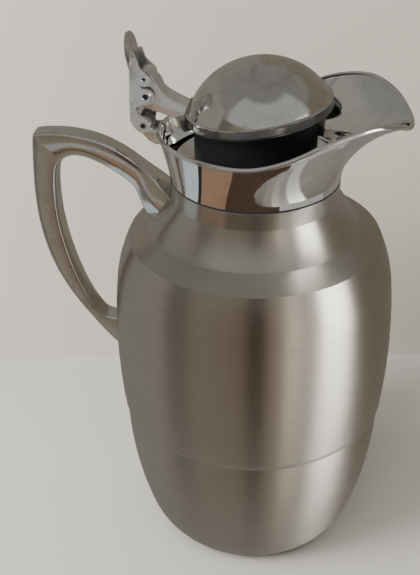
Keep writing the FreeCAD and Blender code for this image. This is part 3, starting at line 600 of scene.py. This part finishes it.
# Lid --------------------------------------------------------------------------------------

LID_TILT = radians(8)
LID_MIDDLE = spot(1.3, 0, 239.2)
LEAN = Matrix.Translation(LID_MIDDLE) @ Matrix.Rotation(-LID_TILT, 4, "Y")
DOME_RADIUS = 33.0
DOME_RISE = 20.5


def make_lid():
    """The dome with its rolled edge, and the dark band that hangs from it."""
    flat, skin, start = 1.0, 1.0, DOME_RADIUS - 0.4
    curve = ((DOME_RADIUS - flat) ** 2 + DOME_RISE ** 2) / (2 * DOME_RISE)
    start_height = DOME_RISE - curve + sqrt(curve ** 2 - (start - flat) ** 2)
    rolled = [(33.7, 0.05), (33.75, 0.45), (33.35, 0.8)]
    outside = arc((start, start_height), (flat, DOME_RISE), curve, "left", 30)
    top = [(flat, DOME_RISE), (0.0, DOME_RISE), (0.0, DOME_RISE - skin)]
    inside = arc((flat, DOME_RISE - skin), (31.9, 0.0), curve, "right", 16) + [(31.9, 0.0)]
    dome = placed(turned(rolled + outside + top + inside), LEAN)
    complete("dome", dome, "lid", "dome_chrome", dome_chrome, "lid_dome")
    band = [(33.25, 0.2), (33.4, -3.1), (33.75, -3.3), (33.8, -3.6), (33.6, -3.8), (32.8, -3.8),
            (32.8, -0.1)]
    complete("dome_band", placed(turned(band), LEAN), "lid", "dome_chrome", band_chrome, "lid_skirt")


def make_stopper():
    """The black stopper under the dome, down to its plug. Its top edge is tilted as the dome is."""
    seat = low("stopper_seal").z
    outline = [(0, 196.0), (14.4, 196.0), (15.0, 196.6), (18.5, seat), (18.5, seat + 2.2),
               (20.5, seat + 2.2), (27.9, 211.7), (28.5, 212.4), (28.5, 231.2), (26.7, 231.2),
               (26.7, 213.8), (18.7, 208.5), (16.7, 206.3), (13.2, 197.8), (0, 197.8)]
    bm = turned(outline)
    for vert in bm.verts:
        if vert.co.z > 225.0 * MM:
            vert.co.z = LID_MIDDLE.z - 3.6 * MM + (vert.co.x - LID_MIDDLE.x) * tan(LID_TILT)
    complete("stopper", bm, "lid", "black_plastic", black_plastic, "stopper_body")


# Hinge, arm and thumb lever ---------------------------------------------------------------

# Where the pins cross the XZ plane, and the inner and outer side of the lever's cheeks along Y.
PIN = (-51.2, 228.9)
RIVET = (-49.4, 243.0)
TOP_PIN = (-49.9, 251.0)
CHEEK_IN, CHEEK_OUT = 6.4, 8.0


def disc(middle, radius, start=0, sweep=360, count=20):
    """Points on a circle in the XZ plane, by degrees from +X towards +Z."""
    return [(middle[0] + radius * cos(radians(start + sweep * step / count)),
             middle[1] + radius * sin(radians(start + sweep * step / count))) for step in range(count)]


def laid_across(bm, middle):
    """Lay a piece turned round Z along Y, through a place in the XZ plane."""
    place = Matrix.Translation(spot(middle[0], 0, middle[1]))
    return placed(bm, place @ Matrix.Rotation(radians(90), 4, "X"))


def eyelet(middle, bore, radius, half, flare):
    """An open rivet or tube along Y with rolled ends."""
    outline = [(bore, -half + 0.3), (bore + 0.25, -half), (radius + flare - 0.25, -half),
               (radius + flare, -half + 0.25), (radius + flare, -half + 0.5), (radius, -half + 0.6)]
    outline += [(r, -h) for r, h in reversed(outline)]
    return laid_across(turned(outline, 48), middle)


def make_pins():
    """The three open pins across the lever."""
    for name, node, middle, bore, radius, flare in (
            ("hinge_tube", "hinge_pin", PIN, 1.2, 1.9, 0.0),
            ("open_rivet", "lever_rivet", RIVET, 1.3, 2.2, 0.55),
            ("top_tube", "lever_top_pin", TOP_PIN, 0.75, 1.5, 0.0)):
        pin = eyelet(middle, bore, radius, high(node).y, flare)
        complete(name, pin, "lid", "plain_steel", lever_chrome, node)


def cheek_outline():
    """One side of the folded lever: back edge, pin eye, waist, rivet eye and upper eye."""
    back = curve_through([(-55.6, 261.0), (-56.3, 255.0), (-56.6, 247.0), (-57.0, 239.0), (-57.0, 231.4)], 4)
    heel = [(-56.2, 229.4), (-54.6, 227.2), (-53.2, 226.0)]
    eye = disc(PIN, 3.5, 232, 150, 10)
    waist = [(-49.2, 231.9), (-51.4, 233.3), (-53.9, 235.4), (-54.3, 236.8), (-53.6, 238.0)]
    rivet_eye = disc(RIVET, 3.7, 250, 195, 12)
    neck = [(-50.9, 246.9), (-51.9, 248.2)]
    upper_eye = disc(TOP_PIN, 3.3, 232, 150, 10)
    top = [(-51.6, 256.2), (-52.4, 259.0), (-53.2, 261.0)]
    return back + heel + eye + waist + rivet_eye + neck + upper_eye + top


# Back line of the folded lever, from the pin up to the tip: height, X and half width.
LEVER_BACK = [
    (231.6, -57.0, 7.6),
    (239.0, -56.7, 7.6),
    (247.0, -55.9, 7.6),
    (252.0, -55.4, 8.2),
    (256.0, -55.4, 10.0),
    (260.0, -56.0, 11.8),
    (264.5, -57.0, 12.2),
    (270.0, -58.4, 12.2),
]
TAB_MIDDLE = 262.0
LEVER_SHEET = 1.5


def lever_sheet():
    """The back of the lever: flat between the cheeks, dished and rounded off at the thumb tab."""
    bm = bmesh.new()
    bmesh.ops.create_grid(bm, x_segments=22, y_segments=48, size=1)
    bottom, top = LEVER_BACK[0][0], LEVER_BACK[-1][0]
    for vert in bm.verts:
        across, share = vert.co.x, (vert.co.y + 1) / 2
        height = bottom + (top - bottom) * share
        place, half = read_table(LEVER_BACK, height)
        past = max(height - TAB_MIDDLE, 0) / (top - TAB_MIDDLE)
        half *= sqrt(max(1 - past ** 2, 0.0004))
        dish = min(max((height - 250.0) / 10, 0), 1) * (1 - 0.4 * past)
        vert.co = spot(place - 1.1 * dish * (1 - across ** 2), across * half, height)
    bmesh.ops.solidify(bm, geom=bm.faces[:], thickness=LEVER_SHEET * MM)
    bmesh.ops.recalc_face_normals(bm, faces=bm.faces)
    return bm


def make_lever():
    """The folded thumb lever: two pierced cheeks joined by the sheet behind them."""
    parts = []
    holes = [disc(PIN, 1.2, count=16), disc(RIVET, 2.2), disc(TOP_PIN, 1.3, count=16)]
    for side in (-1, 1):
        cheek = plate(cheek_outline(), side * CHEEK_IN, side * CHEEK_OUT, holes)
        soften(cheek, 0.12, segments=1, steepest=60)
        parts.append(cheek)
    sheet = lever_sheet()
    soften(sheet, 0.4, steepest=50)
    complete("lever", joined(sheet, *parts), "lid", "lever_chrome", lever_chrome, "thumb_lever")


def make_bore_shade():
    """Black rods inside the open pins: painted shade where the bores are dark."""
    parts = []
    for middle, radius, half in ((PIN, 1.25, 7.2), (RIVET, 1.35, 7.9), (TOP_PIN, 1.32, 7.2)):
        rod = turned([(0, -half), (radius, -half), (radius, half), (0, half)], 32)
        parts.append(laid_across(rod, middle))
    # The rods take the black plastic as painted shade: the bores look dark from shade, not from a black
    # part.
    complete("pin_bore_shade", joined(*parts), "lid", "black_plastic", black_plastic)


def make_arm():
    """The arm from the lever's pins to the dome, rounded along its length."""
    outline = (disc(TOP_PIN, 3.0, 100, -95, 8) + disc((-45.6, 247.6), 1.6, 60, -70, 4)
               + [(-42.6, 244.4), (-39.6, 242.2), (-35.4, 239.9), (-29.4, 237.2), (-29.4, 231.0),
                  (-34.0, 231.4), (-38.6, 233.0), (-43.4, 234.8), (-49.0, 236.6), (-52.6, 237.6),
                  (-53.4, 241.0), (-52.8, 246.0), (-52.8, 251.4), (-51.8, 253.4)])

    def runs_along(edge):
        return abs(edge.verts[0].co.y - edge.verts[1].co.y) < MERGE

    bm = plate(outline, -5.5, 5.5)
    soften(bm, 1.9, segments=5, steepest=25, chosen=runs_along)
    complete("arm", bm, "lid", "lever_chrome", lever_chrome, "lid_arm")


def make_weld():
    """The uneven run of solder where the arm meets the dome."""
    def section(centre, along, radius):
        def place(share):
            turn = share * tau
            lump = radius * (1 + 0.18 * sin(5 * turn + along * 3.1) + 0.12 * sin(along * 11))
            return (centre[0] + lump * 0.8 * cos(turn), centre[1] + lump * 0.3 * sin(turn),
                    centre[2] + lump * sin(turn))
        return place

    side = [(-31.6, 5.4, 231.6), (-31.4, 5.9, 234.6), (-30.6, 5.6, 237.2), (-29.9, 3.0, 238.6)]
    other = [(x, -y, z) for x, y, z in side]
    path = curve_through(other + [(-29.7, 0.0, 239.0)] + side[::-1], 5)
    places = [section(point, index * 0.7, 0.75) for index, point in enumerate(path)]
    complete("arm_weld", lofted(12, places), "lid", "lever_chrome", weld_metal)


def make_bracket():
    """The two-eared hinge block on the back of the collar."""
    parts = []
    root = [(-43.2, 219.6), (-42.9, 226.6), (-47.4, 226.6)]
    outline = root + disc(PIN, 3.6, 340, 200, 14) + [(-53.9, 226.4), (-49.4, 221.4), (-46.0, 219.2)]
    for side in (-1, 1):
        ear = plate(outline, side * 4.4, side * 6.0)
        soften(ear, 0.35, steepest=40)
        parts.append(ear)
    seat = plate([(-43.2, 219.4), (-42.8, 225.0), (-48.0, 224.2), (-51.4, 223.6), (-49.2, 221.2),
                  (-46.0, 219.0)], -5.9, 5.9)
    soften(seat, 0.5, segments=3, steepest=40)
    complete("hinge_block", joined(seat, *parts), "root", "mirror_chrome", lever_chrome, "hinge_bracket")


def make_spring():
    """The torsion spring round the pin: one leg on the block, one under the arm."""
    coils, steps, wire, radius, half = 5, 20, 0.55, 2.85, 3.6
    begin = -0.9
    end = begin + tau * coils

    def round_pin(turn, y):
        return PIN[0] + radius * cos(turn), y, PIN[1] + radius * sin(turn)

    path = [(PIN[0] + 5.6, -half - 0.1, PIN[1] - 3.6), (PIN[0] + 3.4, -half, PIN[1] - 2.9)]
    for step in range(coils * steps + 1):
        path.append(round_pin(begin + tau * step / steps, -half + 2 * half * step / (coils * steps)))
    leaving = round_pin(end + 0.5, half)
    path.append((leaving[0] + 0.2, half, leaving[2]))
    path.append((PIN[0] + 4.6, half, PIN[1] + 5.2))
    places = []
    for index, point in enumerate(path):
        ahead = Vector(path[min(index + 1, len(path) - 1)]) - Vector(path[max(index - 1, 0)])
        side = ahead.cross(Vector((0, 1, 0))).normalized()
        up = side.cross(ahead).normalized()
        places.append(lambda share, p=Vector(point), s=side, u=up:
                      p + s * wire * cos(share * tau) + u * wire * sin(share * tau))
    spring = complete("return_spring", lofted(8, places), None, "spring_steel", spring_steel,
                      "lid_spring")
    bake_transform(spring)


# Handle -----------------------------------------------------------------------------------

# Stations along the handle, from the shoulder over the grip to the side: outer point, inner
# point and half width.
HANDLE = [
    (-39.6, 193.6, -47.0, 179.6, 9.6),
    (-42.4, 196.6, -50.4, 182.4, 8.7),
    (-45.6, 200.0, -53.6, 187.0, 7.4),
    (-49.6, 203.6, -55.6, 192.2, 6.1),
    (-53.6, 207.0, -58.0, 196.6, 5.4),
    (-59.6, 211.6, -62.8, 200.8, 5.25),
    (-67.6, 216.4, -70.5, 205.9, 5.25),
    (-77.3, 220.1, -77.9, 209.4, 5.25),
    (-88.7, 222.0, -84.2, 211.0, 5.25),
    (-98.0, 222.0, -88.6, 210.4, 5.25),
    (-104.3, 221.2, -91.6, 208.6, 5.25),
    (-105.5, 219.6, -92.4, 207.8, 5.25),
    (-106.3, 212.0, -94.6, 204.8, 5.25),
    (-106.9, 203.0, -95.8, 199.6, 5.25),
    (-107.3, 191.0, -96.4, 190.0, 5.25),
    (-106.7, 176.0, -95.9, 176.0, 5.25),
    (-104.2, 161.0, -93.6, 161.6, 5.25),
    (-99.8, 147.0, -89.9, 147.2, 5.25),
    (-93.2, 133.8, -84.6, 133.0, 5.25),
    (-85.4, 122.0, -78.6, 122.9, 5.25),
    (-78.4, 112.6, -74.6, 120.4, 5.25),
    (-71.6, 104.9, -70.4, 120.1, 5.25),
    (-68.0, 102.6, -67.6, 120.0, 5.25),
]


def handle_section(outer_x, outer_z, inner_x, inner_z, half):
    """A rounded oblong ring between the outer and the inner line of the handle."""
    middle = Vector(((outer_x + inner_x) / 2, 0, (outer_z + inner_z) / 2))
    reach = Vector((outer_x - inner_x, 0, outer_z - inner_z)) / 2
    deep = reach.length
    reach.normalize()
    corner, crown = 1.3, 0.35
    flat_side, flat_top = deep - corner, half - corner

    def place(share):
        quarter = int(share * 4) % 4
        turn = share * tau
        across = flat_top if quarter in (0, 3) else -flat_top
        along = flat_side if quarter in (0, 1) else -flat_side
        across += cos(turn) * (corner + crown * (1 - abs(sin(turn))))
        along += sin(turn) * corner
        return middle + reach * along + Vector((0, across, 0))

    return place


def make_handle():
    """The loop handle, with its root spread over the shoulder."""
    stations = curve_through(HANDLE, 3)
    bm = lofted(32, [handle_section(*row) for row in stations])
    complete("loop_handle", bm, "root", "handle_chrome", handle_chrome, "handle", crease=46)


# CAD pieces that keep their shape -----------------------------------------------------------

KEPT = {
    "foot_ring": foot_rubber, "base_plug": black_plastic, "base_thread_ring": plain_steel,
    "flask_cushion": seal_rubber, "outer_glass": silvered_glass, "flask_base": silvered_glass,
    "flask_wall": silvered_glass, "flask_shoulder": silvered_glass, "flask_neck": silvered_glass,
    "neck_band": plain_steel, "neck_seal": seal_rubber, "mouth_seal": seal_rubber,
    "pouring_funnel": mirror_chrome, "lid_plate": black_plastic, "lid_post": plain_steel,
    "stopper_screw": plain_steel, "stopper_core": foam, "stopper_seal": silicone,
    "upper_handle_washer": plain_steel, "upper_handle_screw": plain_steel,
    "lower_handle_washer": plain_steel, "lower_handle_screw": plain_steel,
}


def finish_kept_nodes():
    for node, material in KEPT.items():
        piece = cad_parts[node]
        piece.data.materials.clear()
        piece.data.materials.append(material)


# Stage, lights and camera -----------------------------------------------------------------

LENS = 62.6
CAMERA_PLACE = (0.0378, -0.4271, 0.4093)
LOOK_TURN, LOOK_DOWN, LOOK_ROLL = radians(8), radians(32.09), radians(-0.71)
STAGE_ROUGHNESS = 0.9


def stage_piece(name, bm, material, matrix):
    mesh = bpy.data.meshes.new(name)
    bm.to_mesh(mesh)
    bm.free()
    mesh.materials.append(material)
    piece = bpy.data.objects.new(name, mesh)
    piece.matrix_world = matrix
    bpy.context.scene.collection.objects.link(piece)
    return piece


def stage_plane(name, material, width, height, matrix):
    """A flat sheet of the stage, left out of what the metal mirrors."""
    bm = bmesh.new()
    bmesh.ops.create_grid(bm, x_segments=1, y_segments=1, size=0.5)
    bmesh.ops.scale(bm, vec=(width, height, 1), verts=bm.verts)
    stage_piece(name, bm, material, matrix).visible_glossy = False


def one_sided(tree, front, surface):
    """Show a shader on the front of the faces only: from behind they are clear."""
    clear = tree.nodes.new("ShaderNodeBsdfTransparent")
    mix = tree.nodes.new("ShaderNodeMixShader")
    facing = tree.nodes.new("ShaderNodeNewGeometry")
    tree.links.new(facing.outputs["Backfacing"], mix.inputs[0])
    tree.links.new(front, mix.inputs[1])
    tree.links.new(clear.outputs[0], mix.inputs[2])
    tree.links.new(mix.outputs[0], surface)


def make_stage():
    """A pale floor, and a pale wall behind the jug that views from behind look through."""
    floor, *_ = start_material(
        "pale_floor", Base_Color=(0.50, 0.49, 0.46, 1.0), Roughness=STAGE_ROUGHNESS)
    stage_plane("floor", floor, 4.0, 4.0, Matrix.Identity(4))
    wall, tree, shader = start_material(
        "pale_wall", Base_Color=(0.68, 0.65, 0.58, 1.0), Roughness=STAGE_ROUGHNESS)
    one_sided(tree, shader.outputs[0], tree.nodes["Material Output"].inputs["Surface"])
    stage_plane("wall", wall, 4.0, 2.0, Matrix.Rotation(LOOK_TURN, 4, "Z")
                @ Matrix.Translation((0, 0.135, 1.0)) @ Matrix.Rotation(radians(90), 4, "X"))


# What the metal mirrors: a colour at each azimuth in degrees from the line of sight, positive
# towards the lip. Its tones are set one by one.
MIRRORED = [
    (-180, 0.24, 0.22, 0.19), (-118, 0.28, 0.27, 0.24), (-78, 0.30, 0.28, 0.25), (-73, 0.15, 0.14, 0.12),
    (-57, 0.15, 0.14, 0.12), (-52, 0.24, 0.21, 0.17), (-28, 0.22, 0.185, 0.145), (-9, 0.19, 0.145, 0.105),
    (-6, 0.05, 0.03, 0.018), (6, 0.05, 0.03, 0.018), (9, 0.26, 0.205, 0.16), (21, 0.34, 0.285, 0.235),
    (24, 1.00, 0.88, 0.76), (34, 0.94, 0.83, 0.71), (37, 0.60, 0.55, 0.47), (50, 0.62, 0.57, 0.49),
    (53, 3.00, 2.95, 2.80), (75, 2.60, 2.55, 2.40), (80, 0.18, 0.155, 0.125), (180, 0.22, 0.195, 0.16),
]
MIRRORED_BRIGHTEST = 3.0
ROOM_RADIUS = 4.0
ROOM_HEIGHT = 0.15
# The brightest pane and the ribbed blind of the mirrored room: the middle of each and where it
# starts and ends to fade, in shares of a turn, and the angle that the ribs run through in one turn.
PANE_AT, PANE_FULL, PANE_GONE = 0.679, 0.026, 0.036
BLIND_AT, BLIND_FULL, BLIND_GONE = 0.52, 0.20, 0.235
RIBS = 900.0

# Boards lying round the jug, mirrored only by what stands above them: colour, first and last
# azimuth in degrees, and nearest and furthest distance from the jug's axis in metres.
NEARBY = [
    ("pale_cloth", (0.48, 0.54, 0.58), -86, -66, 0.066, 0.095),
    ("dark_gap", (0.03, 0.025, 0.02), -66, -62, 0.068, 0.16),
    ("copper_thing", (0.28, 0.18, 0.115), -62, -33, 0.073, 0.15),
    ("brown_thing", (0.07, 0.047, 0.03), -33, 22, 0.0695, 0.15),
    ("grey_table", (0.34, 0.335, 0.325), -62, 22, 0.15, 0.32),
    ("pale_table", (0.44, 0.435, 0.42), 22, 78, 0.068, 0.20),
    ("far_table", (0.24, 0.225, 0.20), 78, 150, 0.068, 0.20),
]
NEARBY_HEIGHT = 0.176


def glowing(name, strength=1.0):
    """A material that only glows: it, its tree, its Emission node and its surface socket."""
    finish = bpy.data.materials.new(name)
    finish.use_nodes = True
    tree = finish.node_tree
    tree.nodes.clear()
    glow = tree.nodes.new("ShaderNodeEmission")
    glow.inputs["Strength"].default_value = strength
    return finish, tree, glow, tree.nodes.new("ShaderNodeOutputMaterial").inputs["Surface"]


def stage_mirrored(name, bm, material, height):
    """Stand a piece of the stage, turned to the line of sight, where only reflections see it."""
    piece = stage_piece(name, bm, material,
                        Matrix.Translation((0, 0, height)) @ Matrix.Rotation(LOOK_TURN, 4, "Z"))
    piece.visible_camera = False
    piece.visible_diffuse = False
    piece.visible_shadow = False
    piece.visible_transmission = False


def make_nearby():
    """The boards that the collar, lever and handle mirror."""
    for name, colour, start, stop, near, far in NEARBY:
        finish, tree, glow, surface = glowing(name)
        glow.inputs["Color"].default_value = (*colour, 1.0)
        one_sided(tree, glow.outputs[0], surface)
        bm = bmesh.new()
        ends = [bm.verts.new((0, -near, 0)), bm.verts.new((0, -far, 0))]
        bmesh.ops.rotate(bm, verts=ends, matrix=Matrix.Rotation(radians(start), 3, "Z"), cent=(0, 0, 0))
        edge = bm.edges.new(ends)
        bmesh.ops.spin(bm, geom=[*ends, edge], cent=(0, 0, 0), axis=(0, 0, 1),
                       angle=radians(stop - start), steps=24)
        bm.normal_update()
        bmesh.ops.reverse_faces(bm, faces=[face for face in bm.faces if face.normal.z < 0])
        stage_mirrored(name, bm, finish, NEARBY_HEIGHT)


def faint(colour):
    """A colour as a share of the brightest one that is mirrored."""
    return tuple(part / MIRRORED_BRIGHTEST for part in colour)


def azimuth_colours(tree, share, table):
    """Colours that follow the azimuth, from a table of angles and colours."""
    node = tree.nodes.new("ShaderNodeValToRGB")
    ramp = node.color_ramp
    while len(ramp.elements) < len(table):
        ramp.elements.new(1.0)
    for element, (angle, *colour) in zip(ramp.elements, table):
        element.position = (angle + 180) / 360
        element.color = (*faint(colour), 1.0)
    tree.links.new(share, node.inputs["Fac"])
    return node.outputs["Color"]


def make_room():
    """The room as the metal mirrors it; nothing but reflections sees it."""
    finish, tree, glow, surface = glowing("mirrored_room", MIRRORED_BRIGHTEST)
    split = tree.nodes.new("ShaderNodeSeparateXYZ")
    tree.links.new(tree.nodes.new("ShaderNodeTexCoord").outputs["Object"], split.inputs[0])
    ahead = calculate(tree, "MULTIPLY", split.outputs["Y"], -1.0)
    turn = calculate(tree, "ARCTAN2", split.outputs["X"], ahead)
    share = calculate(tree, "ADD", calculate(tree, "DIVIDE", turn, tau), 0.5)
    rise = calculate(tree, "DIVIDE", split.outputs["Z"], ROOM_RADIUS)

    def under(value, start, stop):
        return calculate(tree, "SUBTRACT", 1.0, band_of(tree, value, start, stop))

    def close_to(azimuth, full, gone):
        away = calculate(tree, "ABSOLUTE", calculate(tree, "SUBTRACT", share, azimuth))
        return under(away, full, gone)

    pane = calculate(tree, "MULTIPLY", close_to(PANE_AT, PANE_FULL, PANE_GONE),
                     band_of(tree, rise, -0.60, -0.10))
    blind = calculate(tree, "MULTIPLY", band_of(tree, rise, 0.47, 0.53), under(rise, 0.89, 0.95))
    blind = calculate(tree, "MULTIPLY", blind, close_to(BLIND_AT, BLIND_FULL, BLIND_GONE))
    wave = calculate(tree, "SINE", calculate(tree, "MULTIPLY", share, RIBS))
    rib = calculate(tree, "ADD", calculate(tree, "MULTIPLY", wave, 0.5), 0.5)
    ribs = tint(tree, rib, faint((0.34, 0.34, 0.335)), faint((0.46, 0.46, 0.45)))
    ceiling = tint(tree, band_of(tree, rise, 0.2, 0.95),
                   faint((0.26, 0.25, 0.23)), faint((0.22, 0.215, 0.20)))
    colour = tint(tree, pane, azimuth_colours(tree, share, MIRRORED), faint((6.0, 5.9, 5.6)))
    colour = tint(tree, band_of(tree, rise, -1.0, -0.5), faint((0.28, 0.265, 0.24)), colour)
    colour = tint(tree, band_of(tree, rise, 0.55, 0.68), colour, ceiling)
    colour = tint(tree, blind, colour, ribs)
    tree.links.new(colour, glow.inputs["Color"])
    tree.links.new(glow.outputs[0], surface)
    bm = bmesh.new()
    bmesh.ops.create_uvsphere(bm, u_segments=64, v_segments=32, radius=ROOM_RADIUS)
    stage_mirrored("mirrored_room", bm, finish, ROOM_HEIGHT)


def make_light(name, place, aim, size, power, colour):
    """A soft panel of light that the metal doesn't mirror."""
    data = bpy.data.lights.new(name, "AREA")
    data.shape = "RECTANGLE"
    data.size, data.size_y = size
    data.energy = power
    data.color = colour
    light = bpy.data.objects.new(name, data)
    direction = Vector(aim) - Vector(place)
    light.matrix_world = Matrix.Translation(place) @ direction.to_track_quat("-Z", "Y").to_matrix().to_4x4()
    light.visible_glossy = False
    bpy.context.scene.collection.objects.link(light)


def make_lights():
    make_light("ceiling_light", place=(-0.4, -0.5, 1.6), aim=(0, 0, 0.1), size=(1.4, 1.0), power=20,
               colour=(1.0, 0.98, 0.95))
    make_light("left_light", place=(-1.0, -0.6, 0.9), aim=(-0.35, 0.1, 0.15), size=(0.6, 0.8), power=31,
               colour=(1.0, 0.985, 0.96))
    world = bpy.data.worlds.new("room")
    world.use_nodes = True
    background = world.node_tree.nodes["Background"]
    background.inputs["Color"].default_value = (0.30, 0.28, 0.26, 1.0)
    background.inputs["Strength"].default_value = 0.9
    bpy.context.scene.world = world


def make_camera():
    data = bpy.data.cameras.new("camera")
    data.lens = LENS
    data.sensor_width = 36
    data.clip_start = 0.01
    camera = bpy.data.objects.new("camera", data)
    turn = Matrix.Rotation(LOOK_TURN, 4, "Z") @ Matrix.Rotation(radians(90) - LOOK_DOWN, 4, "X")
    camera.matrix_world = Matrix.Translation(CAMERA_PLACE) @ turn @ Matrix.Rotation(LOOK_ROLL, 4, "Z")
    bpy.context.scene.collection.objects.link(camera)
    bpy.context.scene.camera = camera


make_body()
make_joint_ring()
make_collar()
make_lid()
make_stopper()
make_pins()
make_lever()
make_bore_shade()
make_arm()
make_weld()
make_bracket()
make_spring()
make_handle()
finish_kept_nodes()
make_stage()
make_room()
make_nearby()
make_lights()
make_camera()
